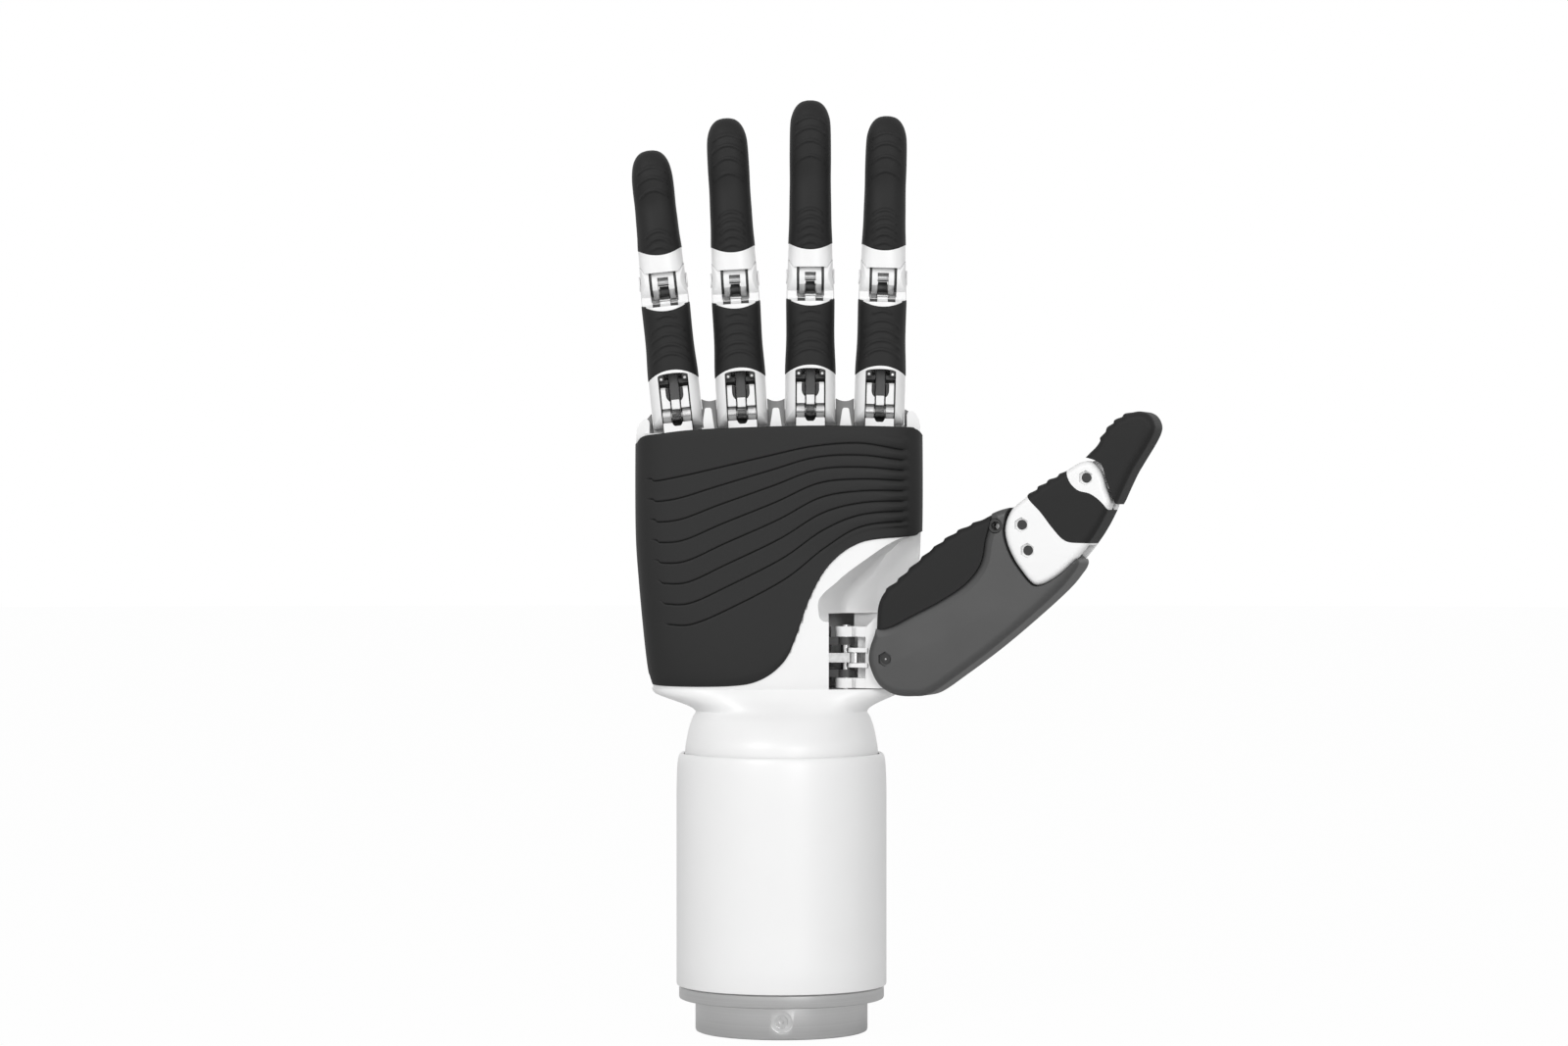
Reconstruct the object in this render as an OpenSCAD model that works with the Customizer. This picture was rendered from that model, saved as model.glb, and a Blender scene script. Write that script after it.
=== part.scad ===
// Dexterous robot hand: a right hand with a round wrist, four two-joint fingers and a three-joint thumb.
// The wrist axis is +Z with the mounting face at Z = 0. The palm faces -Y and the thumb is at +X.

/* [Wrist] */
// Diameter of the mounting spigot
spigot_d = 48.4; // [44:0.2:52]
// Height of the mounting spigot
spigot_h = 9.2; // [7:0.1:14]
// Diameter of the flange ring
flange_d = 57.6; // [54:0.2:62]
// Height of the flange ring
flange_h = 3.6; // [2.5:0.1:6]
// Outside diameter of the wrist sleeve
sleeve_d = 59; // [57:0.2:66]
// Height of the wrist sleeve
sleeve_h = 65.2; // [50:0.2:90]
// Wall thickness of the wrist sleeve
sleeve_wall = 1.7; // [1.2:0.1:2]
// Diameter of the neck where it enters the sleeve
neck_d = 54.8; // [50:0.1:55]
// Diameter of the neck at its narrowest
waist_d = 48.2; // [44:0.2:50]
// Height of the neck above the sleeve
neck_h = 18.3; // [16:0.1:26]
// Radius of the clamp screw's thread hole
clamp_r = 1.85; // [1.2:0.05:2.2]

/* [Palm] */
// Distance from the wrist axis to the little-finger edge of the palm
palm_left = 40.9; // [39:0.1:44]
// Distance from the wrist axis to the forefinger edge of the palm
palm_right = 39.6; // [38:0.1:43]
// Distance from the finger axes to the palm's front face
palm_front = 17.8; // [17:0.1:20]
// Distance from the finger axes to the back of the hand
palm_back = 15.2; // [14.6:0.1:18]
// Height of the palm from the neck to the knuckle plate
palm_h = 74; // [73:0.1:76]
// Thickness of the soft palm pad
pad_t = 1.8; // [1.2:0.1:2.2]
// Wall thickness of the palm shells
shell_wall = 1.6; // [1.2:0.1:1.9]

/* [Fingers] */
// Length from knuckle axis to middle joint axis
proximal_len = 35; // [34:0.1:38]
// Length from middle joint axis to tip, little finger
little_len = 37.1; // [34:0.1:42]
// Length from middle joint axis to tip, ring finger
ring_len = 45.3; // [40:0.1:50]
// Length from middle joint axis to tip, middle finger
middle_len = 49.4; // [42:0.1:54]
// Length from middle joint axis to tip, forefinger
index_len = 45.3; // [40:0.1:50]
// Half width of the proximal segment
finger_hw = 7.05; // [6.9:0.05:7.2]
// Thickness of each leg of the knuckle fork
leg_t = 2.8; // [2.4:0.1:3]
// Radius of the eye on each knuckle leg
leg_r = 6; // [5.6:0.1:6.2]
// Radius of the ears round the middle joint
ear_r = 4.75; // [4.5:0.05:4.9]
// Width of the tongue in the middle joint
tongue_w = 7.2; // [6.8:0.1:7.4]
// Thickness of the finger pads
sleeve_t = 1.1; // [0.8:0.1:1.3]
// Radius of the knuckle and joint pins
pin_r = 1.1; // [0.9:0.05:1.2]

/* [Finger linkage] */
// Radius from knuckle axis to the coupler anchor
anchor_arm = 4.2; // [4:0.05:4.4]
// Half of the knuckle's swing, in degrees
half_swing = 40; // [36:1:42]
// Turn of the middle joint for each degree of the knuckle
joint_ratio = 1.1; // [1:0.05:1.15]
// Radius from knuckle axis to the drive pin
drive_arm = 6.5; // [6.4:0.05:6.7]
// Radius of the drive and coupler pins
small_pin_r = 0.9; // [0.7:0.05:1]
// Thickness of the coupler and rod eyes
link_t = 2.6; // [2.2:0.1:2.8]

/* [Thumb] */
// Distance of the thumb's turning axis to the side of the wrist axis
yaw_x = 17.9; // [17:0.1:19]
// Distance of the thumb's turning axis in front of the finger axes
yaw_y = 9.6; // [9.2:0.1:10]
// Angle of the thumb in front of the palm's plane at rest
yaw_rest = 18; // [14:1:22]
// Radius from the turning axis to the thumb's base joint
base_reach = 13.6; // [13:0.1:14.4]
// Height of the thumb's base joint above the palm's lower edge
base_rise = 8.6; // [8.2:0.1:9]
// Half thickness of the thumb's base housing
housing_hw = 7.5; // [7.2:0.1:7.8]
// Radius of the thumb's joint pins
thumb_pin_r = 1.35; // [1.1:0.05:1.5]
// Radius from the turning axis to the thumb's lever pin
lever_arm = 4; // [3.9:0.05:4.2]

/* [Fits] */
// Radial running clearance of pins in their eyes
run_gap = 0.04; // [0.02:0.01:0.08]
// Gap between pieces that move past each other
side_gap = 0.25; // [0.2:0.01:0.35]
// Gap at a seat between fixed pieces
seat_gap = 0.03; // [0.02:0.01:0.06]

/* [Hidden] */
$fn = 64;

white = "white";
pad_black = [0.16, 0.16, 0.17];
housing_grey = [0.33, 0.33, 0.34];
steel = [0.62, 0.63, 0.65];
board_green = [0.1, 0.35, 0.22];

// Heights up the wrist
flange_z = spigot_h;
sleeve_z = flange_z + flange_h;
sleeve_top = sleeve_z + sleeve_h;
palm_z = sleeve_top + neck_h;
palm_top = palm_z + palm_h;

// Each finger: knuckle X, knuckle Z, lean away from vertical, length of the fingertip segment
LITTLE = [-29.6, palm_top + 5.1, -6, little_len];
RING = [-11.2, palm_top + 5.7, -3.2, ring_len];
MIDDLE = [8.1, palm_top + 6.5, 0, middle_len];
INDEX = [27.6, palm_top + 6.2, 1.5, index_len];
FINGERS = [LITTLE, RING, MIDDLE, INDEX];

// ---------- shared shapes ----------

// Signed power, for the outline of a rounded section
function bulge(v, p) = sign(v) * pow(abs(v), 2 / p);

// Points of one rounded section: [z, x centre, half width, y front, y back, squareness]
function section(s, n) = [
    for (i = [0 : n - 1])
        let (a = 360 * i / n, yc = (s[3] + s[4]) / 2, ry = (s[4] - s[3]) / 2)
        [s[1] + s[2] * bulge(cos(a), s[5]), yc + ry * bulge(sin(a), s[5]), s[0]]
];

// Closed skin over a stack of rounded sections, lowest first
module loft(stack, n = 20) {
    m = len(stack);
    points = [for (s = stack) each section(s, n)];
    sides = [
        for (k = [0 : m - 2], i = [0 : n - 1])
            let (j = (i + 1) % n)
            [k * n + i, (k + 1) * n + i, (k + 1) * n + j, k * n + j]
    ];
    bottom = [for (i = [0 : n - 1]) i];
    top = [for (i = [n - 1 : -1 : 0]) (m - 1) * n + i];
    polyhedron(points = points, faces = concat(sides, [bottom, top]));
}

// Straight core with the outline of one section, from its height up to z, drawn in by d
module core(s, z, d, n = 20) {
    translate([0, 0, s[0]]) linear_extrude(z - s[0])
        polygon([for (p = section([0, s[1], s[2] - d, s[3] + d, s[4] - d, s[5]], n)) [p[0], p[1]]]);
}

// The same stack of sections, drawn in or pushed out by d all round
function grown(stack, d) = [for (s = stack) [s[0], s[1], s[2] + d, s[3] - d, s[4] + d, s[5]]];

// Side outline, drawn as [y, z], given a thickness across X
module across(w) {
    rotate([90, 0, 90]) linear_extrude(w, center = true) children();
}

// Front outline, drawn as [x, z], given a depth along Y
module deep(d) {
    rotate([90, 0, 0]) linear_extrude(d, center = true) children();
}

// Pin or bore along X at a point of the side outline
module pin_x(y, z, r, l) {
    translate([0, y, z]) rotate([0, 90, 0]) cylinder(h = l, r = r, center = true);
}

// Slotted link eye outline: two circles joined, spread along the first axis
module slot2d(r, spread) {
    translate([-spread, 0]) circle(r);
    translate([spread, 0]) circle(r);
    square([2 * spread, 2 * r], center = true);
}

// Places its children on finger f's knuckle axis, with local +Z up the finger
module at_finger(f) {
    translate([f[0], 0, f[1]]) rotate([0, f[2], 0]) children();
}

// ---------- fingers, in the frame of the knuckle axis ----------

gap_w = 2 * (finger_hw - leg_t);
swing_p = half_swing * joint_ratio;
coupler_arm = anchor_arm / joint_ratio;
anchor_y = -anchor_arm * cos(half_swing);
anchor_z = -anchor_arm * sin(half_swing);
coupler_y = coupler_arm * cos(swing_p);
coupler_z = proximal_len - coupler_arm * sin(swing_p);
anchor_play = anchor_arm * (1 - cos(half_swing)) / 2;
coupler_play = coupler_arm * (1 - cos(swing_p)) / 2;
drive_y = drive_arm * cos(half_swing);
drive_z = -drive_arm * sin(half_swing);
drive_play = drive_arm * (1 - cos(half_swing)) / 2;
lobe_r = small_pin_r + 1.4;
eye_t = 0.75;
eye_gap = run_gap + 0.18;
tongue_r = ear_r - 0.55;
ear_hw = finger_hw - 0.65;
pin_head_r = pin_r + 0.9;

// Outer sections of the proximal segment
PROX = [
    [-7.4, 0, finger_hw - 0.15, -6.4, 7.6, 2.6],
    [0, 0, finger_hw, -6.6, 7.5, 2.6],
    [9, 0, finger_hw - 0.05, -7, 7.2, 2.5],
    [18, 0, finger_hw - 0.4, -6.5, 6.6, 2.4],
    [30.5, 0, finger_hw - 0.35, -6, 6.1, 2.6],
    [proximal_len, 0, ear_hw, -5.8, 6, 3],
    [proximal_len + ear_r + 0.2, 0, ear_hw - 0.1, -5.6, 5.8, 3]
];

// Section of the core that the proximal pad is moulded round
PROX_CORE = [0, 0, finger_hw - 0.4 - sleeve_t, sleeve_t - 6, 6.1 - sleeve_t, 2.5];

// Side outline of the proximal segment: fork legs, drive lobes, body and ears
module proximal_side() {
    circle(leg_r);
    translate([drive_y, drive_z]) circle(lobe_r);
    polygon([
        [0, -leg_r], [drive_y, drive_z - lobe_r], [drive_y + lobe_r, drive_z], [7.4, 4], [7.4, 26],
        [6.4, 31], [ear_r, proximal_len], [0, proximal_len], [-1.2, proximal_len - 4.6], [-2.2, proximal_len - 6.9], [-6, 26],
        [-7.2, 22], [-7.2, 3], [-leg_r, 0]
    ]);
    translate([0, proximal_len]) circle(ear_r);
}

// Zone of the soft sleeve between its two curved ends, in front view
module proximal_zone(inset) {
    r = 11;
    difference() {
        translate([-10, 5]) square([20, proximal_len - 8]);
        translate([0, 9.9 - r - inset]) circle(r + 2 * inset);
        translate([-10, 26.6 + r]) square([20, 10]);
        translate([0, 26.6 + r]) circle(r + inset);
    }
}

module proximal(f) {
    color(white) at_finger(f) difference() {
        intersection() {
            union() {
                difference() {
                    loft(PROX);
                    deep(30) proximal_zone(0);
                }
                core(PROX_CORE, proximal_len + ear_r, seat_gap);
            }
            across(30) proximal_side();
        }
        // Fork gap round the knuckle, arched at the top
        across(gap_w) circle(leg_r + 2.6);
        translate([0, 0, -10]) cube([gap_w, 40, 20], center = true);
        // Channel for the coupler, from fork to fork
        translate([0, 0, proximal_len / 2]) cube([link_t + 2 * side_gap, 10.2, proximal_len - 6], center = true);
        // Fork gap round the middle joint
        across(tongue_w + 2 * side_gap) translate([0, proximal_len]) circle(ear_r + 1.3);
        // Bores of the knuckle pin, the middle joint pin and the drive pin
        pin_x(0, 0, pin_r + run_gap, 30);
        pin_x(0, proximal_len, pin_r, 30);
        pin_x(drive_y, drive_z, small_pin_r, 30);
        across(link_t + 2 * side_gap) translate([coupler_y + coupler_play, coupler_z])
            slot2d(small_pin_r + eye_t + side_gap, coupler_play);
        // Flats under the pin's heads
        for (s = [-1, 1]) translate([s * (ear_hw + 2), 0, 0]) pin_x(0, proximal_len, pin_head_r + 0.1, 4);
    }
}

module proximal_pad(f) {
    color(pad_black) at_finger(f) difference() {
        intersection() {
            loft(PROX);
            deep(30) proximal_zone(seat_gap);
            across(30) proximal_side();
        }
        core(PROX_CORE, proximal_len + ear_r, 0);
    }
}

// Headed pin of the middle joint, with a domed head on each side, and the plain drive pin
module finger_pins(f) {
    head_t = 0.35;
    color(steel) at_finger(f) {
        pin_x(0, proximal_len, pin_r, 2 * ear_hw);
        for (s = [-1, 1]) translate([s * (ear_hw + head_t / 2), 0, 0]) pin_x(0, proximal_len, pin_head_r, head_t);
        pin_x(drive_y, drive_z, small_pin_r, gap_w + 2 * leg_t - 0.6);
    }
}

// Coupler bar with a slotted eye at each end. It lies in the proximal channel.
module coupler(f) {
    lo = [anchor_y - anchor_play, anchor_z];
    hi = [coupler_y + coupler_play, coupler_z];
    color(steel) at_finger(f) across(link_t) difference() {
        union() {
            translate(lo) slot2d(pin_r + eye_t, anchor_play);
            translate(hi) slot2d(small_pin_r + eye_t, coupler_play);
            polygon([lo + [-1.1, 0], lo + [1.1, 0], hi + [1.1, 0], hi + [-1.1, 0]]);
        }
        translate(lo) slot2d(pin_r + eye_gap, anchor_play + run_gap);
        translate(hi) slot2d(small_pin_r + eye_gap, coupler_play + run_gap);
    }
}

// Drive rod: a slotted eye on the drive pin and a round rod down into the actuator
rod_r = 1.25;
rod_len = 17;
module drive_rod(f) {
    at = [drive_y + drive_play, drive_z];
    color(steel) at_finger(f) {
        across(link_t) difference() {
            union() {
                translate(at) slot2d(small_pin_r + eye_t, drive_play);
                translate(at + [-rod_r, -4]) square([2 * rod_r, 4]);
            }
            translate(at) slot2d(small_pin_r + eye_gap, drive_play + run_gap);
        }
        translate([0, at[0], at[1] - 4 - rod_len]) cylinder(h = rod_len, r = rod_r);
    }
}

// Outer sections of the fingertip segment of length l, in the frame of the middle joint
function tip_stack(l) =
    let (u = (l - 9) / 40.4, d = 7)
    [
        [2.5, 0, ear_hw - 0.1, -5.7, 6.1, 2.6],
        [9, 0, ear_hw - 0.3, -6, 6.1, 2.5],
        [9 + 6 * u, 0, 5.85, -6.2, 5.9, 2.3],
        [9 + 12 * u, 0, 5.75, -5.5, 5.7, 2.3],
        [9 + 18 * u, 0, 5.65, -5.1, 5.4, 2.3],
        [9 + 25 * u, 0, 5.7, -5.8, 4.9, 2.3],
        [l - d, 0, 5.55, -5.9, 4, 2.2],
        [l - d * 0.55, 0, 4.95, -5.2, 3.3, 2.2],
        [l - d * 0.25, 0, 3.9, -4.2, 2.4, 2.1],
        [l - d * 0.07, 0, 2.5, -3, 1.2, 2],
        [l, 0, 0.9, -1.4, -0.2, 2]
    ];

// Zone of the tip pad above its curved lower edge, in front view
module tip_zone(inset) {
    r = 10.4;
    translate([0, 7.2 + r + inset]) {
        circle(r);
        translate([-10, 0]) square([20, 60]);
    }
}

// Section of the tang that the tip pad is moulded over, and its length
TANG = [5.6, 0, 4.3, -4, 3.2, 2.4];
function tang_len(f) = f[3] * 0.74;

module distal(f) {
    skin = tip_stack(f[3]);
    color(white) at_finger(f) translate([0, 0, proximal_len]) difference() {
        union() {
            difference() {
                intersection() {
                    loft([for (s = skin) if (s[0] < 16) s]);
                    translate([0, 0, 4]) cube([20, 20, 20], center = true);
                }
                deep(30) tip_zone(0);
                // Room for the ears below the collar
                across(30) circle(ear_r + side_gap + 0.1);
            }
            core(TANG, tang_len(f), seat_gap);
            across(tongue_w) {
                circle(tongue_r);
                translate([coupler_y, coupler_z - proximal_len]) circle(small_pin_r + 1);
                polygon([[-3.4, 2], [coupler_y, coupler_z - proximal_len - 1.2], [4.4, -1.5], [4.4, 7], [-3.4, 7]]);
            }
        }
        // Slot for the coupler eye
        translate([0, 1, -1.2]) cube([link_t + 2 * side_gap, 14, 8], center = true);
        pin_x(0, 0, pin_r + run_gap, 30);
    }
    // Cross pin for the coupler, in one piece with the tongue
    color(white) at_finger(f) pin_x(coupler_y, coupler_z, small_pin_r, tongue_w - 0.3);
}

module tip_pad(f) {
    skin = tip_stack(f[3]);
    color(pad_black) at_finger(f) translate([0, 0, proximal_len]) difference() {
        intersection() {
            loft(skin);
            deep(30) tip_zone(seat_gap);
        }
        core(TANG, tang_len(f) + seat_gap, 0);
    }
}

// ---------- palm ----------

palm_mid = (palm_right - palm_left) / 2;
palm_hw = (palm_right + palm_left) / 2;
// How far the soft pad stands proud of the shell
pad_proud = 0.5;

// Outer sections of the palm, at the pad's surface
PALM = [
    [palm_z, palm_mid - 0.9, palm_hw - 5.5, -palm_front + 1.2, palm_back - 1, 3.4],
    [palm_z + 3, palm_mid - 0.5, palm_hw - 4.3, -palm_front + 0.5, palm_back - 0.5, 3.6],
    [palm_z + 12, palm_mid, palm_hw - 2.6, -palm_front, palm_back, 3.8],
    [palm_z + 30, palm_mid, palm_hw - 0.9, -palm_front, palm_back, 4],
    [palm_z + 45, palm_mid, palm_hw, -palm_front, palm_back, 4],
    [palm_top - 3, palm_mid, palm_hw, -palm_front, palm_back - 0.6, 4],
    [palm_top, palm_mid, palm_hw - 0.5, -palm_front + 0.6, palm_back - 1.6, 3.8]
];
palm_n = 32;
// Section of the knuckle plate, before the pad's thickness is taken off
PALM_TOP = [palm_top - 7, palm_mid, palm_hw, -palm_front, palm_back, 3.6];
SHELL = grown(PALM, -pad_proud);
SEAT = grown(PALM, -pad_t);
INNER = [for (i = [0, 2, 4, 6]) grown(PALM, -pad_t - shell_wall)[i]];

// Smooth open curve through its points, with m steps between each two
function curve(p, m = 4) = [
    for (i = [0 : len(p) - 2])
        let (a = p[max(i - 1, 0)], b = p[i], c = p[i + 1], d = p[min(i + 2, len(p) - 1)])
        for (t = [0 : 1 / m : 1 - 1 / m / 2])
            b + t * (c - a) / 2 + t * t * (2 * a - 5 * b + 4 * c - d) / 2 + t * t * t * (3 * b - a - 3 * c + d) / 2,
    p[len(p) - 1]
];

// Smooth closed curve through its points, with m steps between each two
function ring_curve(p, m = 2) = [
    for (i = [0 : len(p) - 1])
        let (n = len(p), a = p[(i + n - 1) % n], b = p[i], c = p[(i + 1) % n], d = p[(i + 2) % n])
        for (k = [0 : m - 1])
            let (t = k / m)
            b + t * (c - a) / 2 + t * t * (2 * a - 5 * b + 4 * c - d) / 2 + t * t * t * (3 * b - a - 3 * c + d) / 2
];

// The same closed outline, drawn in by d
function drawn_in(outline, d) = [
    for (i = [0 : len(outline) - 1])
        let (n = len(outline), t = outline[(i + 1) % n] - outline[(i + n - 1) % n])
        outline[i] + d * [-t[1], t[0]] / norm(t)
];

// Lower edge of the palm pad: along the wrist, then up in an S round the base of the thumb
PAD_EDGE = [
    [-34, palm_z + 0.8], [-15, palm_z + 0.9], [-6, palm_z + 2.6], [0.6, palm_z + 7.6], [4, palm_z + 14.5],
    [8, palm_z + 25.5], [13.6, palm_z + 34.8], [22.4, palm_z + 40.8], [palm_right - 3, palm_z + 42.6]
];

// Front outline of the palm pad, drawn in by inset
module pad_outline(inset) {
    offset(delta = -inset) polygon(concat(
        curve(PAD_EDGE),
        [
            [palm_right + 2, palm_z + 43], [palm_right + 2, palm_top - 4.4],
            [palm_right - 2.6, palm_top - 1.7], [18, palm_top - 0.7], [2, palm_top - 0.8], [-18, palm_top - 2],
            [-palm_left + 2, palm_top - 4.2], [-palm_left - 2, palm_top - 6.4], [-palm_left - 2, palm_z + 30],
            [-38.4, palm_z + 2.6]
        ]
    ));
}

// Space in front of the parting line of the shells
part_y = -2;
module front_half() {
    translate([-60, part_y - 40, 0]) cube([120, 40, 200]);
}

module palm_pad() {
    color(pad_black) difference() {
        intersection() {
            loft(PALM, palm_n);
            front_half();
            deep(80) pad_outline(seat_gap);
        }
        loft(grown(PALM, -pad_t + seat_gap), palm_n);
    }
}

// Hollow round the base of the thumb, which its housing swings into. Its floor lies along the thumb.
hollow_front = [[9.4, 18.4], [9.4, 25.5], [15.5, 30.5], [30, 40.8], [46, 46.5], [46, 18.4]];
hollow_back = [[17, 20], [17, 25], [20, 29], [33, 41], [46, 46.5], [46, 20]];
module thumb_hollow() {
    intersection() {
        hull() {
            translate([0, -19, palm_z]) deep(0.2) polygon(hollow_front);
            translate([0, -4, palm_z]) deep(0.2) polygon(hollow_back);
        }
        at_thumb() translate([-12, -50, 0]) cube([70, 50 + housing_hw + 0.5, 300]);
    }
    // Opening for the thumb's turning yoke
    intersection() {
        translate([13.1, -40, palm_z - 1]) cube([40, 38.5, 22]);
        at_thumb() translate([-12, -50, 0]) cube([70, 50 + housing_hw + 0.5, 300]);
    }
    // Pocket for the turning rod and the bracket's ears
    translate([0, -15.1, lever_z - 2]) cube([15, 10, 4]);
    translate([7, -12.4, palm_z - 1]) cube([8, 11.5, 19]);
}

module palm_front_shell() {
    color(white) difference() {
        intersection() {
            union() {
                difference() {
                    loft(SHELL, palm_n);
                    deep(80) pad_outline(0);
                }
                loft(SEAT, palm_n);
            }
            front_half();
            translate([-60, -60, palm_z]) cube([120, 120, palm_h - knuckle_t - seat_gap]);
        }
        difference() {
            loft(INNER, palm_n);
            // Wall behind the thumb's hollow
            translate([11.5, -40, palm_z]) cube([40, 40, 43]);
        }
        thumb_hollow();
    }
}

module palm_back_shell() {
    color(white) difference() {
        union() {
            difference() {
                loft(SHELL, palm_n);
                loft([for (i = [0, 2, 4, 6]) grown(SHELL, -shell_wall)[i]], palm_n);
            }
            // Bosses for the screws
            for (x = SCREW_X) translate([x, palm_back - 7.4, palm_z + 8]) rotate([-90, 0, 0]) cylinder(h = 5.8, r = 3);
            // Scalloped guard behind the knuckles
            intersection() {
                loft([for (s = [0, 7.5]) [palm_top - 3 + s, palm_mid, palm_hw - 0.9 - s / 6, -palm_front, palm_back - 1 - s / 4, 4]], palm_n);
                translate([-60, 10.2, 0]) cube([120, 20, 300]);
                guard_outline();
            }
        }
        front_half();
        translate([-60, -60, palm_top - knuckle_t - seat_gap]) cube([120, 70 - 0.2, 30]);
        for (x = SCREW_X) translate([x, palm_back - 2, palm_z + 8]) rotate([-90, 0, 0]) {
            cylinder(h = 4, r = screw_r + 0.1);
            translate([0, 0, -20]) cylinder(h = 22, r = screw_r - 0.8);
        }
    }
}

// Front view of the guard: high behind each finger, scooped out between them
module guard_outline() {
    deep(80) difference() {
        translate([-60, palm_top - 20]) square([120, 26]);
        for (i = [0 : 2]) translate([(FINGERS[i][0] + FINGERS[i + 1][0]) / 2, palm_top + 10.5]) circle(5.4);
        translate([-palm_left - 1, palm_top + 9]) circle(8);
        translate([palm_right + 1, palm_top + 9]) circle(8);
    }
}

knuckle_t = 7;
nose_r = 3.4;
actuator_drop = 13;
module knuckle_block() {
    lug_w = gap_w - 2 * side_gap;
    // Lowest reach of the coupler's eye, with the finger fully bent
    eye_foot = 2 * anchor_play + pin_r + eye_t - anchor_z + side_gap;
    color(white) difference() {
        union() {
            difference() {
                union() {
                    intersection() {
                        core(PALM_TOP, palm_top, pad_t + 0.7 + seat_gap, palm_n);
                        translate([-60, -60, palm_top - knuckle_t]) cube([120, 60 + 9.6, knuckle_t]);
                    }
                    // Webs between the fingers and rounded shoulders outside them
                    for (i = [0 : 2]) translate([(FINGERS[i][0] + FINGERS[i + 1][0]) / 2, -11, palm_top - 1])
                        deep(7) polygon([[-1.7, 0], [1.7, 0], [0.9, 5], [-0.9, 5]]);
                    for (x = [-palm_left + 2.9, palm_right - 3.5]) translate([x, -3, palm_top - 1.6])
                        across(2.3) shoulder();
                }
                // Room for the ends of the finger legs and their drive lobes
                for (f = FINGERS) at_finger(f) across(2 * (finger_hw + side_gap)) {
                    circle(leg_r + side_gap);
                    translate([drive_y, drive_z]) circle(lobe_r + side_gap);
                    polygon([[0, 0], [0, -leg_r - side_gap], [drive_y, drive_z - lobe_r - side_gap], [drive_y, 0]]);
                    // Front face of the bent finger
                    translate([-20, -7.3]) square([20, 10]);
                }
            }
            for (f = FINGERS) at_finger(f) across(lug_w) knuckle_lug();
        }
        for (f = FINGERS) at_finger(f) {
            pin_x(0, 0, pin_r, lug_w + 1);
            pin_x(anchor_y, anchor_z, pin_r, lug_w + 1);
            // Notch for the coupler in front, with the anchor pin in open view
            translate([-link_t / 2 - side_gap, -11.2, -eye_foot]) cube([link_t + 2 * side_gap, 11.4, eye_foot + 10.7]);
            translate([0, -6, anchor_z]) cube([lug_w - 1.8, 5.2, 3], center = true);
            // Slot behind for the drive rod, and the seat of the actuator's nose
            translate([0, drive_y + drive_play, 0]) {
                translate([0, 0.5, -4]) cube([link_t + 2 * side_gap, 6.6, 21], center = true);
                translate([0, 0, -40]) cylinder(h = 40 - 9.5, r = nose_r + seat_gap);
            }
        }
    }
}

// Side outline of the rounded shoulder outside the first and last finger
module shoulder() {
    intersection() {
        scale([9.4, 5.3]) circle(1);
        translate([-9.4, 0]) square([14, 7]);
    }
}

// Side outline of a knuckle lug: a round boss on a stem, with a flat stop above
module knuckle_lug() {
    intersection() {
        union() {
            circle(5.3);
            translate([-5.2, -9]) square([8.3, 12]);
            translate([-5, 0]) square([8.6, 5.2]);
        }
        translate([-5.2, -12]) square([20, 18]);
    }
}

module knuckle_pins() {
    lug_w = gap_w - 2 * side_gap;
    color(steel) for (f = FINGERS) at_finger(f) {
        pin_x(0, 0, pin_r, 2 * finger_hw - 1.2);
        pin_x(anchor_y, anchor_z, pin_r, lug_w);
    }
}

// Linear actuators of the fingers: motor case, gear head and the nose that guides the rod
case_w = 10;
case_l = 36;
module finger_actuators() {
    color(housing_grey) for (f = FINGERS) at_finger(f)
        translate([0, drive_y + drive_play, -actuator_drop]) difference() {
            union() {
                translate([-case_w / 2, -case_w / 2 - 1.5, -case_l - 3]) cube([case_w, case_w, case_l]);
                translate([0, 0, -4]) cylinder(h = 5.4, r = nose_r);
            }
            translate([0, 0, -rod_len - 3]) cylinder(h = 40, r = rod_r + run_gap);
        }
}

module shell_screws() {
    color(steel) for (x = SCREW_X) translate([x, palm_back - 2, palm_z + 8]) rotate([-90, 0, 0]) {
        cylinder(h = 0.9, r = screw_r);
        translate([0, 0, -5]) cylinder(h = 5, r = screw_r - 0.8);
    }
}
screw_r = 1.9;
SCREW_X = [-15, 14];

module control_board() {
    board_h = palm_h - knuckle_t - 29;
    board_t = 1.2;
    chip = 8;
    board_y = 6.4 - palm_front;
    color(board_green) translate([-26, board_y - board_t, palm_z + 24]) cube([34, board_t, board_h]);
    color(housing_grey) for (at = [[-22, 0.1], [-8, 0.25], [-18, 0.6]])
        translate([at[0], board_y, palm_z + 24 + board_h * at[1]]) cube([chip, 1.6, chip]);
}

// ---------- wrist ----------

sleeve_in = sleeve_d / 2 - sleeve_wall;
bore_r = 17;
clamp_z = 5;

module wrist_spigot() {
    color(steel) difference() {
        rotate_extrude() polygon([
            [bore_r, 0], [spigot_d / 2 - 0.6, 0], [spigot_d / 2, 0.6], [spigot_d / 2, spigot_h], [bore_r, spigot_h]
        ]);
        // Clamp screw hole with its counterbore, facing the palm side
        translate([0, -bore_r + 1, clamp_z]) rotate([90, 0, 0]) cylinder(h = 20, r = clamp_r);
        translate([0, -spigot_d / 2 + 1.2, clamp_z]) rotate([90, 0, 0]) cylinder(h = 5, r = 3);
    }
}

module clamp_screw() {
    color(steel) translate([0, -spigot_d / 2 + 2, clamp_z]) rotate([-90, 0, 0]) difference() {
        cylinder(h = spigot_d / 2 - 2 - bore_r, r = clamp_r);
        translate([0, 0, -1]) cylinder(h = 2.6, r = 0.8, $fn = 6);
    }
}

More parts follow.
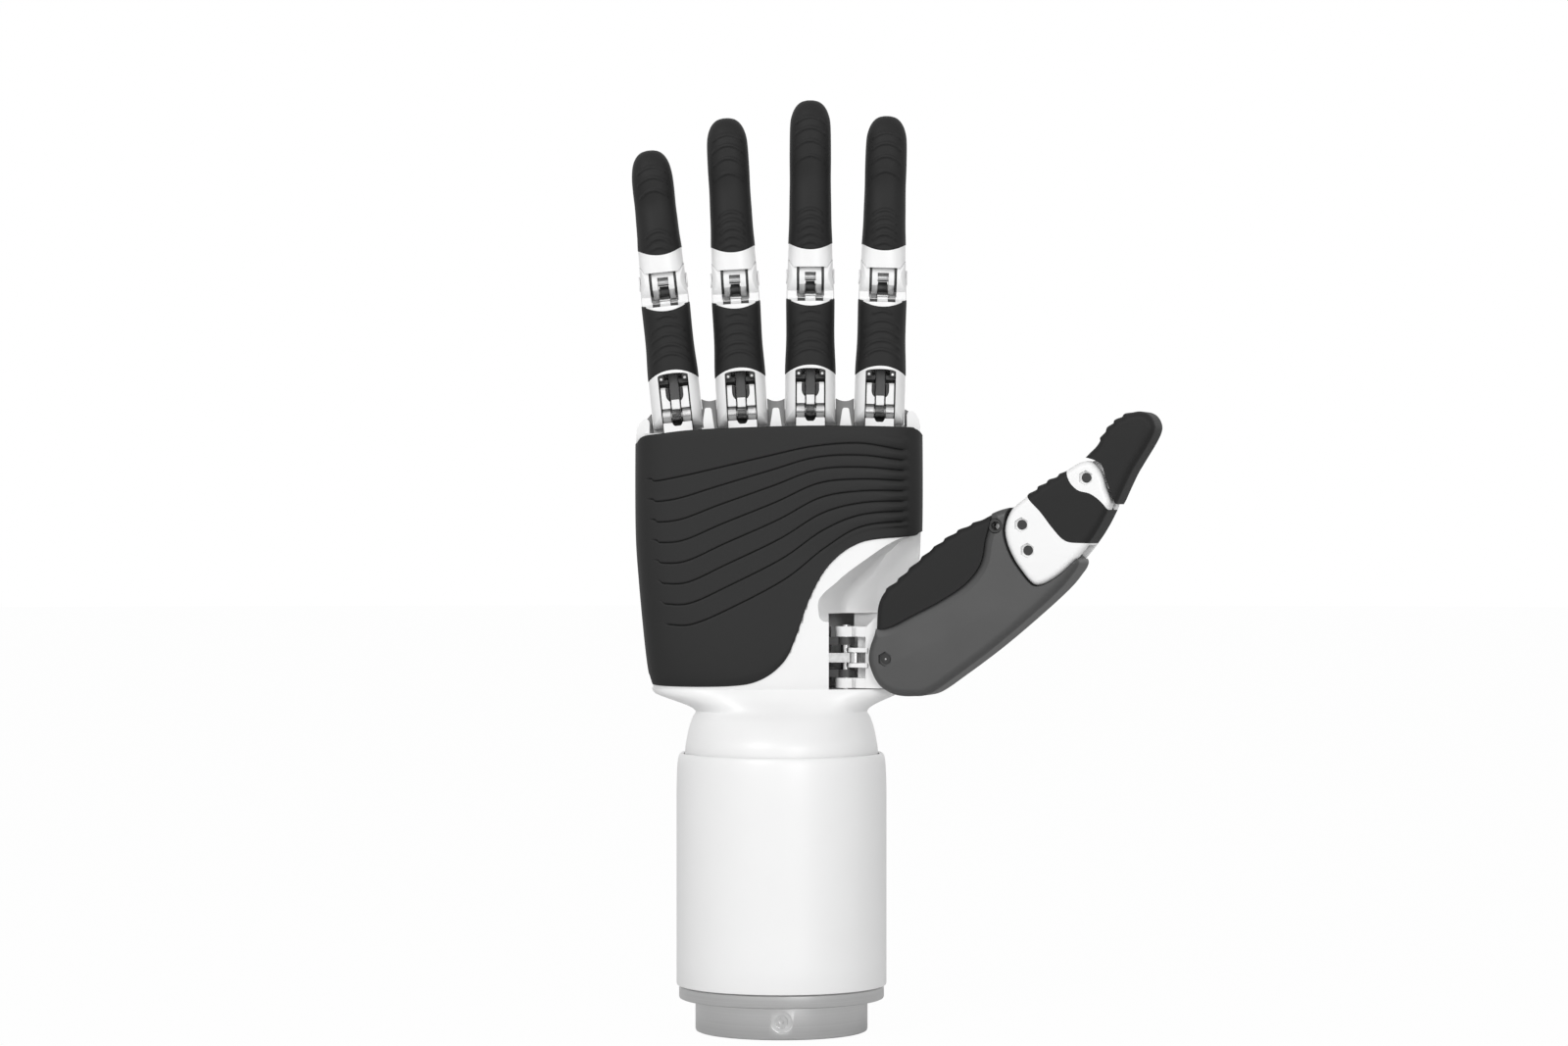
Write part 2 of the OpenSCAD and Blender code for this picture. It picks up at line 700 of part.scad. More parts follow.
// Flange ring with a locating collar that the sleeve fits over
module wrist_flange() {
    color(steel) translate([0, 0, flange_z]) rotate_extrude() polygon([
        [bore_r, 0], [flange_d / 2 - 0.4, 0], [flange_d / 2, 0.4], [flange_d / 2, flange_h],
        [sleeve_in - seat_gap, flange_h], [sleeve_in - seat_gap, flange_h + 5], [bore_r + 6, flange_h + 5],
        [bore_r + 6, flange_h], [bore_r, flange_h]
    ]);
}

// Tube drawn in slightly at its top edge
module wrist_sleeve() {
    r = sleeve_d / 2;
    color(white) translate([0, 0, sleeve_z]) rotate_extrude() polygon(concat(
        [[sleeve_in, 0], [r - 0.15, 0], [r, 0.3], [r, sleeve_h - 12]],
        [for (a = [10 : 10 : 80]) [r - 0.75 * (1 - cos(a)) - 0.35 * pow(a / 80, 6), sleeve_h - 12 + 12 * sin(a)]],
        [[r - 1.1, sleeve_h], [sleeve_in, sleeve_h]]
    ));
}

// Neck: round where it enters the sleeve, drawn in to a waist, then flared to the flat of the palm
NECK = [
    [sleeve_top - 9, 0, neck_d / 2, -neck_d / 2, neck_d / 2, 2],
    [sleeve_top + 0.4, 0, neck_d / 2, -neck_d / 2, neck_d / 2, 2],
    [sleeve_top + 3.6, 0, neck_d / 2 - 0.6, -neck_d / 2 + 0.8, neck_d / 2 - 1.2, 2],
    [sleeve_top + 7, 0, neck_d / 2 - 1.5, -neck_d / 2 + 2.6, neck_d / 2 - 4, 2],
    [sleeve_top + 10, 0, neck_d / 2 - 2.5, -neck_d / 2 + 4.8, neck_d / 2 - 7.5, 2.1],
    [sleeve_top + 11.9, 0, waist_d / 2, -neck_d / 2 + 6.6, neck_d / 2 - 10, 2.2],
    [sleeve_top + 13.5, -0.4, waist_d / 2 + 2.1, -neck_d / 2 + 8, neck_d / 2 - 11.8, 2.4],
    [sleeve_top + 15.2, -1, waist_d / 2 + 6.2, -neck_d / 2 + 9.4, neck_d / 2 - 12.8, 2.7],
    [sleeve_top + 16.8, -1.3, waist_d / 2 + 10, -neck_d / 2 + 10.3, neck_d / 2 - 13.2, 3],
    [sleeve_top + neck_h, -1.5, palm_hw - 5.4, -palm_front + 1.4, palm_back - 1.2, 3.4]
];
module wrist_neck() {
    color(white) difference() {
        loft(NECK, palm_n);
        // Passage for the cables
        translate([0, 0, sleeve_top - 20]) cylinder(h = 60, r = 9);
        // Relief that the thumb's housing swings over
        translate([yaw_x, -yaw_y, 0]) difference() {
            translate([-7, -60, palm_z - 2.4]) cube([60, 66, 3]);
            cylinder(h = 200, r = 7.6);
        }
    }
}

// ---------- thumb, in the frame of its turning axis: local +X out along the thumb, +Y to the back ----------

module at_thumb() {
    translate([yaw_x, -yaw_y, 0]) rotate([0, 0, -yaw_rest]) children();
}

P0 = [base_reach, palm_z + base_rise];
P1 = P0 + [38.8, 37.1];
P2 = P1 + [18.1, 12.8];
A0 = P0 + [-2.2, 8.7];
B1 = P1 + [1.7, -7];
H1 = P1 + [-7.4, -0.3];
C2 = P2 + [2.6, -3.7];
DRIVE0 = P0 + [4.6, -3.2];
cheek_gap = 3.6;
housing_round = 2.2;
shaft_r = 1.3;
socket_r = 2.1;
socket_t = 1.1;
link_w = 2.2;

// Side outline in the thumb's plane, drawn as [out, up], given a thickness across it
module flat(w) {
    rotate([90, 0, 0]) linear_extrude(w, center = true) children();
}

module thumb_pin(at, r, l) {
    translate([at[0], 0, at[1]]) rotate([90, 0, 0]) cylinder(h = l, r = r, center = true);
}

// Hexagonal sockets at the two ends of a pin, for a body of half thickness hw
module sockets(at, hw) {
    for (s = [-1, 1]) translate([at[0], s * hw, at[1]]) rotate([90, 30, 0])
        cylinder(h = 2 * socket_t, r = socket_r, center = true, $fn = 6);
}

// Outline in the thumb's plane raised into a body of half thickness hw with round edges of radius r
module pillow(outline, hw, r) {
    n = len(outline);
    layers = [
        for (s = [-1, 1], a = s < 0 ? [0, 45, 90] : [90, 45, 0])
            [s * (hw - r + r * cos(a)), r * (1 - sin(a))]
    ];
    m = len(layers);
    points = [for (l = layers) each [for (p = drawn_in(outline, l[1])) [p[0], l[0], p[1]]]];
    polyhedron(points = points, faces = concat(
        [[for (i = [n - 1 : -1 : 0]) i], [for (i = [0 : n - 1]) (m - 1) * n + i]],
        [
            for (k = [0 : m - 2], i = [0 : n - 1])
                let (j = (i + 1) % n)
                [k * n + j, (k + 1) * n + j, (k + 1) * n + i, k * n + i]
        ]
    ));
}

// Points of an arc about c, from one angle to another
function arc(c, r, a, b, m = 6) = [for (k = [0 : m]) let (t = a + (b - a) * k / m) c + r * [cos(t), sin(t)]];

// Whole outline of the base housing with its pad, counter-clockwise
HOUSING = ring_curve([
    for (v = [
        [-5.2, 0], [-4.3, -3.5], [-2, -7.4], [2.6, -9.9], [8, -10.2], [12.6, -9.4], [19, -5.2], [29.7, 2.6],
        [39.7, 10.8], [48.5, 18.6], [52.8, 23.4], [54.6, 27.4], [50, 31.4], [44.4, 35.4], [42, 40.4],
        [37.6, 42], [32, 41], [26.6, 38.4], [19.8, 35.2], [12, 29.8], [3.4, 22.2], [-1, 18.4], [-2.8, 14],
        [-3.2, 8], [-4.6, 3.8]
    ]) P0 + v
]);

// Front of the base housing's pad zone: everything above this ridge is soft
RIDGE = curve([
    P0 + [-6, 8.2], P0 + [0.6, 8.7], P0 + [7.6, 12], P0 + [16, 16.3], P0 + [23, 21], P0 + [27.2, 26.4],
    P0 + [28.6, 33], P0 + [30, 38.4], P0 + [30.6, 44]
], 3);
module ridge_zone(inset) {
    offset(delta = -inset) polygon(concat(RIDGE, [P0 + [-14, 44], P0 + [-14, 8]]));
}

// Space that the middle segment's side plates sweep as the joint bends
bend_sweep = 17;
module phalanx_plate(grow) {
    for (t = [0, 1]) translate(P1) rotate(bend_sweep * t) translate(-P1) polygon(drawn_in(PHALANX, -grow));
}

module thumb_yoke() {
    color(white) at_thumb() difference() {
        union() {
            // Plate that carries the base joint
            flat(2 * cheek_gap - 2 * side_gap) difference() {
                union() {
                    translate(P0) circle(4.4);
                    translate(A0) circle(3.2);
                    polygon([
                        [6.8, palm_z + 0.3], [P0[0] + 1, palm_z + 0.3], P0 + [4.2, -1.5], P0 + [1.2, 8.2], A0 + [0, 3.2],
                        A0 + [-2.6, 1.8], [6.8, palm_z + 17.2]
                    ]);
                    translate(DRIVE0) circle(2.1);
                }
            }
            // Two arms to the turning shaft
            for (z = [palm_z + 0.3, palm_z + 14.6]) translate([0, 0, z]) {
                cylinder(h = 2.8, r = 2.9);
                translate([0, -2.9, 0]) cube([8, 5.8, 2.8]);
            }
            // Lever for the turning rod
            for (z = [lever_z - 2.7, lever_z + 1.5]) translate([0, 0, z]) {
                translate([lever_at[0], lever_at[1], 0]) cylinder(h = 1.2, r = 1.8);
                translate([lever_at[0], lever_at[1] - 1.8, 0]) cube([4.2, 3.6, 1.2]);
            }
        }
        translate([0, 0, palm_z - 5]) cylinder(h = 40, r = shaft_r + run_gap);
        translate([lever_at[0], lever_at[1], palm_z]) cylinder(h = 20, r = small_pin_r);
        thumb_pin(P0, thumb_pin_r + run_gap, 20);
        thumb_pin(A0, small_pin_r, 20);
        thumb_pin(DRIVE0, small_pin_r, 20);
        // Slots for the coupler and for the bend rod
        translate([A0[0], 0, A0[1]]) cube([12, link_w + 2 * side_gap, 9], center = true);
        translate([DRIVE0[0] + 1.5, 0, DRIVE0[1] - 0.4]) cube([9, link_w + 2 * side_gap, 6], center = true);
    }
}
lever_z = palm_z + 8.8;
// Lever pin in the thumb's frame, so that the rod pulls square at the middle of the turn
turn_half = 37.5;
lever_at = lever_arm * [cos(-90 + turn_half + yaw_rest), sin(-90 + turn_half + yaw_rest)];
lever_play = lever_arm * (1 - cos(turn_half)) / 2;

// Pins of the coupler, the bend rod and the turning rod
module thumb_yoke_pins() {
    color(steel) at_thumb() {
        thumb_pin(A0, small_pin_r, 2 * cheek_gap - 2 * side_gap);
        thumb_pin(DRIVE0, small_pin_r, 2 * cheek_gap - 2 * side_gap);
        translate([lever_at[0], lever_at[1], lever_z - 2.7]) cylinder(h = 5.4, r = small_pin_r);
    }
}

// Fixed bracket inside the palm that holds the turning shaft between two ears
module thumb_bracket() {
    color(housing_grey) translate([yaw_x, -yaw_y, 0]) difference() {
        union() {
            for (z = [palm_z + 3.3, palm_z + 12.3]) translate([0, 0, z]) {
                cylinder(h = 2.1, r = 2.6);
                translate([-6, -1.6, 0]) cube([6, 4.2, 2.1]);
                translate([-10, 1, 0]) cube([6, 10, 2.1]);
            }
            translate([-10, 5.5, palm_z + seat_gap]) cube([6, 6, 17]);
        }
        translate([0, 0, palm_z - 1]) cylinder(h = 30, r = shaft_r);
    }
}

module thumb_shaft() {
    color(steel) translate([yaw_x, -yaw_y, palm_z + seat_gap]) cylinder(h = 17.8, r = shaft_r);
}

// Flat bar with a slotted eye on the lever pin and a round shank back to its actuator
module thumb_yaw_rod() {
    at = lever_arm * [sin(turn_half), -cos(turn_half)] - [0, lever_play];
    color(steel) translate([yaw_x, -yaw_y, lever_z]) {
        translate([0, 0, -1.3]) linear_extrude(2.6) difference() {
            union() {
                translate(at) rotate(90) slot2d(small_pin_r + 0.75, lever_play);
                translate([at[0] - 13.6, at[1] - 1.3]) square([13.6, 2.6]);
                translate([at[0] - 13.6, at[1] - 1.3]) square([2.6, 7]);
            }
            translate(at) rotate(90) slot2d(small_pin_r + 0.15, lever_play + run_gap);
        }
        translate([at[0] - 12.3, at[1] + 4.3, 0]) rotate([0, -90, 0]) cylinder(h = 15, r = 1.2);
    }
}

module yaw_actuator() {
    at = [yaw_x + lever_arm * sin(turn_half) - 12.3, -yaw_y - lever_arm * cos(turn_half) - lever_play + 4.3];
    color(housing_grey) translate([at[0], at[1], lever_z]) rotate([0, -90, 0]) difference() {
        union() {
            translate([0, 0, 6.8]) cylinder(h = 3, r = 3);
            translate([-5.2, -3.6, 9]) cube([10.4, 8.4, 20]);
        }
        cylinder(h = 21, r = 1.2 + run_gap);
    }
}

// Hollow of the base housing: room for the yoke, the coupler and the bend actuator
module housing_hollow() {
    flat(2 * cheek_gap) {
        translate(P0) circle(11);
        polygon([P0 + [-9, -5], P0 + [7, -5], P0 + [12, 4], P0 + [8, 14], P0 + [-9, 14]]);
    }
    flat(link_w + 2 * side_gap) {
        // Room for the coupler
        polygon([A0 + [-3, -3], A0 + [6, -4], B1 + [2, -5], B1 + [8, -5], B1 + [8, 6], A0 + [-3, 4]]);
        translate(B1) circle(5);
        // Room for the tip coupler
        polygon([H1 + [-3, -2.6], H1 + [3, -2.4], P1 + [10, 1.6], P1 + [20, 12], P1 + [14, 26], H1 + [-3, 6]]);
    }
    // Way for the bend rod
    bend_axis(4, DRIVE_UP) rotate([0, 90, 0]) cylinder(h = 14, r = 1.3);
}

module thumb_housing() {
    color(housing_grey) at_thumb() difference() {
        union() {
            difference() {
                pillow(HOUSING, housing_hw, housing_round);
                flat(40) ridge_zone(0);
            }
            flat(2 * (housing_hw - 1.6 - seat_gap)) polygon(drawn_in(HOUSING, 1.4 + seat_gap));
        }
        housing_hollow();
        // Cut for the middle segment's side plates, leaving the tongue between them
        for (s = [-1, 1]) translate([0, s * (cheek_gap + 10), 0]) flat(20) phalanx_plate(side_gap + 0.1);
        thumb_pin(P0, thumb_pin_r, 40);
        thumb_pin(P1, thumb_pin_r + run_gap, 40);
        thumb_pin(H1, small_pin_r, 40);
        sockets(P0, housing_hw);
        // Curved way through the tongue for the coupler's end pin
        for (t = [0, 0.5, 1]) flat(40) translate(P1 + turned(B1 - P1, 20 * t)) circle(small_pin_r + 1);
        // Bend actuator seat
        bend_seat(seat_gap);
    }
}
module thumb_housing_pad() {
    color(pad_black) at_thumb() difference() {
        intersection() {
            pillow(HOUSING, housing_hw, housing_round);
            flat(40) ridge_zone(seat_gap);
        }
        flat(2 * (housing_hw - 1.6)) polygon(drawn_in(HOUSING, 1.4));
        flat(2 * cheek_gap) translate(P0) circle(13);
    }
}

module thumb_base_pins() {
    color(steel) at_thumb() {
        thumb_pin(P0, thumb_pin_r, 2 * (housing_hw - socket_t));
        thumb_pin(H1, small_pin_r, 2 * cheek_gap - 2 * side_gap);
    }
}

// Bend drive: its direction in the thumb's plane, and how far its rod lies along and above it from the base joint
bend_dir = 41;
bend_r = 3.4;
function along(d) = d[0] * cos(bend_dir) + d[1] * sin(bend_dir);
function above(d) = -d[0] * sin(bend_dir) + d[1] * cos(bend_dir);
DRIVE_ALONG = along(DRIVE0 - P0);
DRIVE_UP = above(DRIVE0 - P0);
function turned(v, a) = [v[0] * cos(a) - v[1] * sin(a), v[0] * sin(a) + v[1] * cos(a)];
module bend_axis(x, z) {
    translate([P0[0], 0, P0[1]]) rotate([0, -bend_dir, 0]) translate([x, 0, z]) children();
}
module bend_seat(gap) {
    bend_axis(15, DRIVE_UP + 1) rotate([0, 90, 0]) cylinder(h = 16 + gap, r = bend_r + gap);
}
module thumb_bend_actuator() {
    color(housing_grey) at_thumb() difference() {
        bend_seat(0);
        bend_axis(14, DRIVE_UP) rotate([0, 90, 0]) cylinder(h = 8, r = 0.9 + run_gap);
    }
}
module thumb_bend_rod() {
    color(steel) at_thumb() bend_axis(DRIVE_ALONG, DRIVE_UP) {
        flat(link_w) difference() {
            union() {
                circle(small_pin_r + 0.8);
                translate([0, -0.9]) square([6, 1.8]);
            }
            circle(small_pin_r + 0.2);
        }
        translate([5, 0, 0]) rotate([0, 90, 0]) cylinder(h = 10, r = 0.9);
    }
}

// Whole outline of the middle segment, counter-clockwise
PHALANX = ring_curve([
    for (v = [
        [-4.8, 0], [-4.6, -4], [-2.8, -8.6], [0, -12.8], [3.6, -16.4], [8, -15.2], [12.6, -11.8], [16.2, -8],
        [18.9, -4.6], [21.2, -1.2], [23.6, 3.2], [24.6, 6.4], [23.4, 10], [22.2, 14], [19.4, 17.2], [15.6, 16.7],
        [11, 13.8], [6.2, 11.2], [2, 8.2], [-2.8, 4.4]
    ]) P1 + v
]);

// Front view of the middle segment's soft sleeve, between two wavy edges
module phalanx_zone(inset) {
    offset(delta = -inset) polygon(concat(
        curve([
            P1 + [0, 12], P1 + [1.6, 7.6], P1 + [5.4, 3.4], P1 + [9, -1.2], P1 + [12.4, -4.4], P1 + [17.4, -5],
            P1 + [26, -5]
        ], 3),
        curve([P1 + [32, -2], P1 + [26, 1.8], P1 + [22.6, 6], P1 + [19.4, 8.4], P1 + [15.6, 9.6], P1 + [13, 13], P1 + [12, 20]], 3)
    ));
}
phalanx_hw = 7.2;
tongue_reach = 19;
module thumb_phalanx() {
    color(white) at_thumb() difference() {
        union() {
            difference() {
                pillow(PHALANX, phalanx_hw, 1.6);
                flat(40) phalanx_zone(0);
            }
            flat(2 * (phalanx_hw - 1.2 - seat_gap)) polygon(drawn_in(PHALANX, 1.3 + seat_gap));
        }
        // Fork gap for the housing's tongue, and the channel of the tip coupler
        flat(2 * cheek_gap + 2 * side_gap) {
            translate(P1) circle(tongue_reach);
            polygon([P1 + [-8, -20], P1 + [8, -20], P1 + [8, 6], P1 + [-8, 8]]);
        }
        flat(link_w + 2 * side_gap) polygon([P1 + [4, -5], P2 + [8, -8], P2 + [3, 6], P1 + [4, 6]]);
        // Fork gap for the tip's tongue
        flat(2 * cheek_gap) translate(P2) circle(6.8);
        thumb_pin(B1, small_pin_r, 40);
        for (at = [P1, P2]) thumb_pin(at, thumb_pin_r, 40);
        for (at = [P1, B1, P2]) sockets(at, phalanx_hw);
    }
}

module thumb_phalanx_pad() {
    color(pad_black) at_thumb() difference() {
        intersection() {
            pillow(PHALANX, phalanx_hw, 1.6);
            flat(40) phalanx_zone(seat_gap);
        }
        flat(2 * (phalanx_hw - 1.2)) polygon(drawn_in(PHALANX, 1.3));
    }
}

module thumb_phalanx_pins() {
    color(steel) at_thumb() {
        for (at = [P1, P2]) thumb_pin(at, thumb_pin_r, 2 * (phalanx_hw - socket_t));
        thumb_pin(B1, small_pin_r, 2 * (phalanx_hw - socket_t));
    }
}

// Outline of the thumb's tip beyond the last joint, counter-clockwise
TIP = ring_curve([
    for (v = [
        [-2, -8], [4, -10.6], [7.6, -7.6], [9.4, -4.2], [12, 1.2], [15.2, 6.4], [17.8, 10.8], [18.7, 14],
        [17.2, 17], [14, 18], [9.6, 16.6], [5.6, 13.4], [2.4, 8.6], [-2, 4], [-4, -2]
    ]) P2 + v
]);

module tip_zone_thumb(inset) {
    offset(delta = -inset) polygon(concat(
        curve([P2 + [-3, 5.6], P2 + [0.6, 5.3], P2 + [4.1, 3.6], P2 + [5.5, -0.6], P2 + [6.8, -4], P2 + [8, -7.4], P2 + [10, -10]], 3),
        [P2 + [30, -9], P2 + [30, 30], P2 + [-3, 30]]
    ));
}
tip_hw = 6.4;

// Outline of the core that the tip's pad is moulded over, counter-clockwise
TIP_CORE = ring_curve([
    for (v = [
        [7, -2], [8.6, -2], [10.2, 2], [13, 7], [15.4, 11.4], [16.2, 14.4], [14, 15.8], [10, 14.4], [6.4, 11.4],
        [3.8, 7.8], [5, 4]
    ]) P2 + v
]);
module tip_core(d) {
    flat(2 * (tip_hw - 1.5 - d)) polygon(drawn_in(TIP_CORE, d));
}

module thumb_tip() {
    color(white) at_thumb() {
        difference() {
            union() {
                difference() {
                    tip_core(seat_gap);
                    flat(40) translate(P2) circle(4.6 + side_gap);
                }
                // Tongue in the fork, with the eye of the tip coupler
                flat(2 * cheek_gap - 2 * side_gap) {
                    translate(P2) circle(4);
                    translate(C2) circle(1.9);
                    polygon([P2 + [-1, 3.9], P2 + [1.6, -3.6], C2 + [1.5, -1.2], P2 + [8, 0], P2 + [6, 6]]);
                }
            }
            flat(link_w + 2 * side_gap) {
                translate(C2) circle(4);
                polygon([C2 + [0, -4], C2 + [-9, -5], C2 + [-9, 4.5], C2 + [0, 3]]);
            }
            thumb_pin(P2, thumb_pin_r + run_gap, 40);
        }
        thumb_pin(C2, small_pin_r, 2 * cheek_gap - 2 * side_gap);
    }
}

module thumb_tip_pad() {
    color(pad_black) at_thumb() difference() {
        intersection() {
            pillow(TIP, tip_hw, 2.2);
            flat(40) tip_zone_thumb(seat_gap);
        }
        tip_core(0);
        flat(40) translate(P2) circle(4.6 + side_gap);
        flat(2 * cheek_gap) translate(P2) circle(9.4);
    }
}

// Link with a round eye at its fixed end and a slot across it at the other, bowed clear of a pin beside it
module thumb_link(from, to, play, end_r, bow = 0) {
    d = to - from;
    len_l = norm(d);
    color(steel) at_thumb() translate([from[0], 0, from[1]]) rotate([0, -atan2(d[1], d[0]), 0]) flat(link_w) difference() {
        union() {
            circle(small_pin_r + 0.9);
            translate([len_l, play]) circle(end_r + 0.9);
            translate([len_l, -play]) circle(end_r + 0.9);
            polygon([[0, -1], [9, bow - 1], [len_l, -1], [len_l, 1], [9, bow + 1], [0, 1]]);
        }
        circle(small_pin_r + run_gap);
        translate([len_l, 0]) rotate(90) slot2d(end_r + 0.15, play);
    }
}
module thumb_coupler() { thumb_link(A0, B1, 0.35, small_pin_r); }
module thumb_tip_coupler() { thumb_link(H1, C2, 0.3, small_pin_r + 0.05, 1); }

wrist_spigot();
wrist_flange();
wrist_sleeve();
wrist_neck();
clamp_screw();
palm_front_shell();
palm_back_shell();
palm_pad();
knuckle_block();
knuckle_pins();
finger_actuators();
yaw_actuator();
control_board();
shell_screws();
thumb_bracket();
proximal(LITTLE);  // little_proximal
proximal_pad(LITTLE);  // little_proximal_pad
finger_pins(LITTLE);  // little_pins
distal(LITTLE);  // little_distal
tip_pad(LITTLE);  // little_tip_pad
coupler(LITTLE);  // little_coupler
drive_rod(LITTLE);  // little_drive_rod
proximal(RING);  // ring_proximal
proximal_pad(RING);  // ring_proximal_pad
finger_pins(RING);  // ring_pins
distal(RING);  // ring_distal
tip_pad(RING);  // ring_tip_pad
coupler(RING);  // ring_coupler
drive_rod(RING);  // ring_drive_rod
proximal(MIDDLE);  // middle_proximal
proximal_pad(MIDDLE);  // middle_proximal_pad
finger_pins(MIDDLE);  // middle_pins
distal(MIDDLE);  // middle_distal
tip_pad(MIDDLE);  // middle_tip_pad
coupler(MIDDLE);  // middle_coupler
drive_rod(MIDDLE);  // middle_drive_rod
proximal(INDEX);  // index_proximal
proximal_pad(INDEX);  // index_proximal_pad
finger_pins(INDEX);  // index_pins
distal(INDEX);  // index_distal
tip_pad(INDEX);  // index_tip_pad
coupler(INDEX);  // index_coupler
drive_rod(INDEX);  // index_drive_rod
thumb_shaft();
thumb_yoke();
thumb_yoke_pins();
thumb_yaw_rod();
thumb_housing();
thumb_housing_pad();
thumb_base_pins();
thumb_phalanx();
thumb_phalanx_pad();
thumb_phalanx_pins();
thumb_tip();
thumb_tip_pad();
thumb_coupler();
thumb_tip_coupler();
thumb_bend_actuator();
thumb_bend_rod();
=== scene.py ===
import math

import bmesh
import bpy
from mathutils import Matrix, Vector


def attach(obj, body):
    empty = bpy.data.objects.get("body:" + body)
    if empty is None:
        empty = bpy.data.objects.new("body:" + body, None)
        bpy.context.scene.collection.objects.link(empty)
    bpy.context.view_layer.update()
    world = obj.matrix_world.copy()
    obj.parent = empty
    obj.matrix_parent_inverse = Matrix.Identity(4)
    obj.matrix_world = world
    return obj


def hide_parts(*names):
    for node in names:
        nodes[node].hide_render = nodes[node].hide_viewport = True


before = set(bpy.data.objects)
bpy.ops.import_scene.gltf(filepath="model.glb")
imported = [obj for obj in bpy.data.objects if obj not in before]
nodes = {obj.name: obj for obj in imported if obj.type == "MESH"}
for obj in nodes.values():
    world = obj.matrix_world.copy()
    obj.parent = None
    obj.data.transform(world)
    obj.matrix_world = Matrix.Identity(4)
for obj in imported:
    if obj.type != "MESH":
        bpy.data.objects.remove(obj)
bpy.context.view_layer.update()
MM = 0.001

# ---------------------------------------------------------------- studio
# A plain pale floor under the wrist and a white room, with a broad soft lamp above each shoulder of the
# camera. The room shows white to the camera and in gloss, but lights the hand at a plain level.

scene = bpy.context.scene
scene.view_settings.view_transform = "Standard"

camera_at = Vector((0.7, -1154.0, 142.5)) * MM
camera = bpy.data.objects.new("camera", bpy.data.cameras.new("camera"))
camera.location = camera_at
camera.rotation_euler = (math.radians(90), 0, 0)
camera.data.sensor_width = 36
camera.data.lens = 94.2
camera.data.clip_end = 20
scene.collection.objects.link(camera)
scene.camera = camera


class Socket:
    """A shader socket that takes + - * / with numbers and other sockets."""

    def __init__(self, finish, socket):
        self.finish, self.socket = finish, socket

    def _math(self, operation, a, b):
        return self.finish.node("ShaderNodeMath", {"operation": operation}, {0: a, 1: b})[0]

    def __add__(self, other):
        return self._math("ADD", self, other)

    def __radd__(self, other):
        return self._math("ADD", other, self)

    def __sub__(self, other):
        return self._math("SUBTRACT", self, other)

    def __rsub__(self, other):
        return self._math("SUBTRACT", other, self)

    def __mul__(self, other):
        return self._math("MULTIPLY", self, other)

    def __rmul__(self, other):
        return self._math("MULTIPLY", other, self)


class Finish:
    """One material and its nodes."""

    def __init__(self, name, **shader):
        self.material = bpy.data.materials.new(name)
        self.material.use_nodes = True
        self.tree = self.material.node_tree
        self.shader = self.tree.nodes["Principled BSDF"]
        for key, value in shader.items():
            self.shader.inputs[key.replace("_", " ")].default_value = value

    def node(self, kind, settings=None, inputs=None):
        made = self.tree.nodes.new(kind)
        for key, value in (settings or {}).items():
            if key == "stops":
                ramp = made.color_ramp
                while len(ramp.elements) < len(value):
                    ramp.elements.new(0.5)
                for element, (place, colour) in zip(ramp.elements, value):
                    element.position, element.color = place, colour
            else:
                setattr(made, key, value)
        for key, value in (inputs or {}).items():
            if isinstance(value, Socket):
                self.tree.links.new(value.socket, made.inputs[key])
            else:
                made.inputs[key].default_value = value
        return {
            **{index: Socket(self, out) for index, out in enumerate(made.outputs)},
            **{out.name: Socket(self, out) for out in made.outputs},
        }

    def feed(self, name, value):
        self.tree.links.new(value.socket, self.shader.inputs[name])

    def bump(self, strength, distance, height):
        """Fine relief, at most distance metres deep."""
        relief = {"Strength": strength, "Distance": distance, "Height": height}
        self.feed("Normal", self.node("ShaderNodeBump", None, relief)[0])

    def place(self):
        return self.node("ShaderNodeTexCoord")["Object"]

    def noise(self, scale, detail=3.0, roughness=0.5):
        return self.node(
            "ShaderNodeTexNoise", None,
                {"Vector": self.place(), "Scale": scale, "Detail": detail, "Roughness": roughness}
        )["Fac"]

    def shade(self, low, high, amount):
        """Base colour between two shades."""
        self.feed(
            "Base Color",
            self.node("ShaderNodeMix", {"data_type": "RGBA"}, {"Factor": amount, 6: low, 7: high})[2],
        )


def grey(level, warm=0.0):
    return (level * (1 + warm), level, level * (1 - warm), 1)


# White seen straight on, in gloss and through gaps; the plain grey light falls on the hand
world = bpy.data.worlds.new("studio")
scene.world = world
world.use_nodes = True
sky = world.node_tree
background = sky.nodes["Background"]
path = sky.nodes.new("ShaderNodeLightPath")
level = sky.nodes.new("ShaderNodeMapRange")
level.inputs["To Min"].default_value = 0.52
level.inputs["To Max"].default_value = 1.0
kinds = [path.outputs[kind] for kind in ("Is Camera Ray", "Is Transmission Ray", "Is Glossy Ray")]
for kind in kinds[1:]:
    either = sky.nodes.new("ShaderNodeMath")
    either.operation = "MAXIMUM"
    sky.links.new(kinds[0], either.inputs[0])
    sky.links.new(kind, either.inputs[1])
    kinds[0] = either.outputs[0]
sky.links.new(kinds[0], level.inputs["Value"])
sky.links.new(level.outputs[0], background.inputs["Strength"])
background.inputs["Color"].default_value = (1, 1, 1, 1)


def lamp(name, place, aim, size, power):
    data = bpy.data.lights.new(name, "AREA")
    data.shape, data.size, data.energy = "DISK", size, power
    light = bpy.data.objects.new(name, data)
    light.location = place
    light.rotation_euler = (Vector(aim) - Vector(place)).to_track_quat("-Z", "Y").to_euler()
    scene.collection.objects.link(light)


lamp("soft lamp left", (-0.7, -1.3, 0.8), (0, 0, 0.15), 0.7, 8.5)
lamp("soft lamp right", (0.5, -1.5, 0.4), (0, 0, 0.13), 0.6, 6.5)

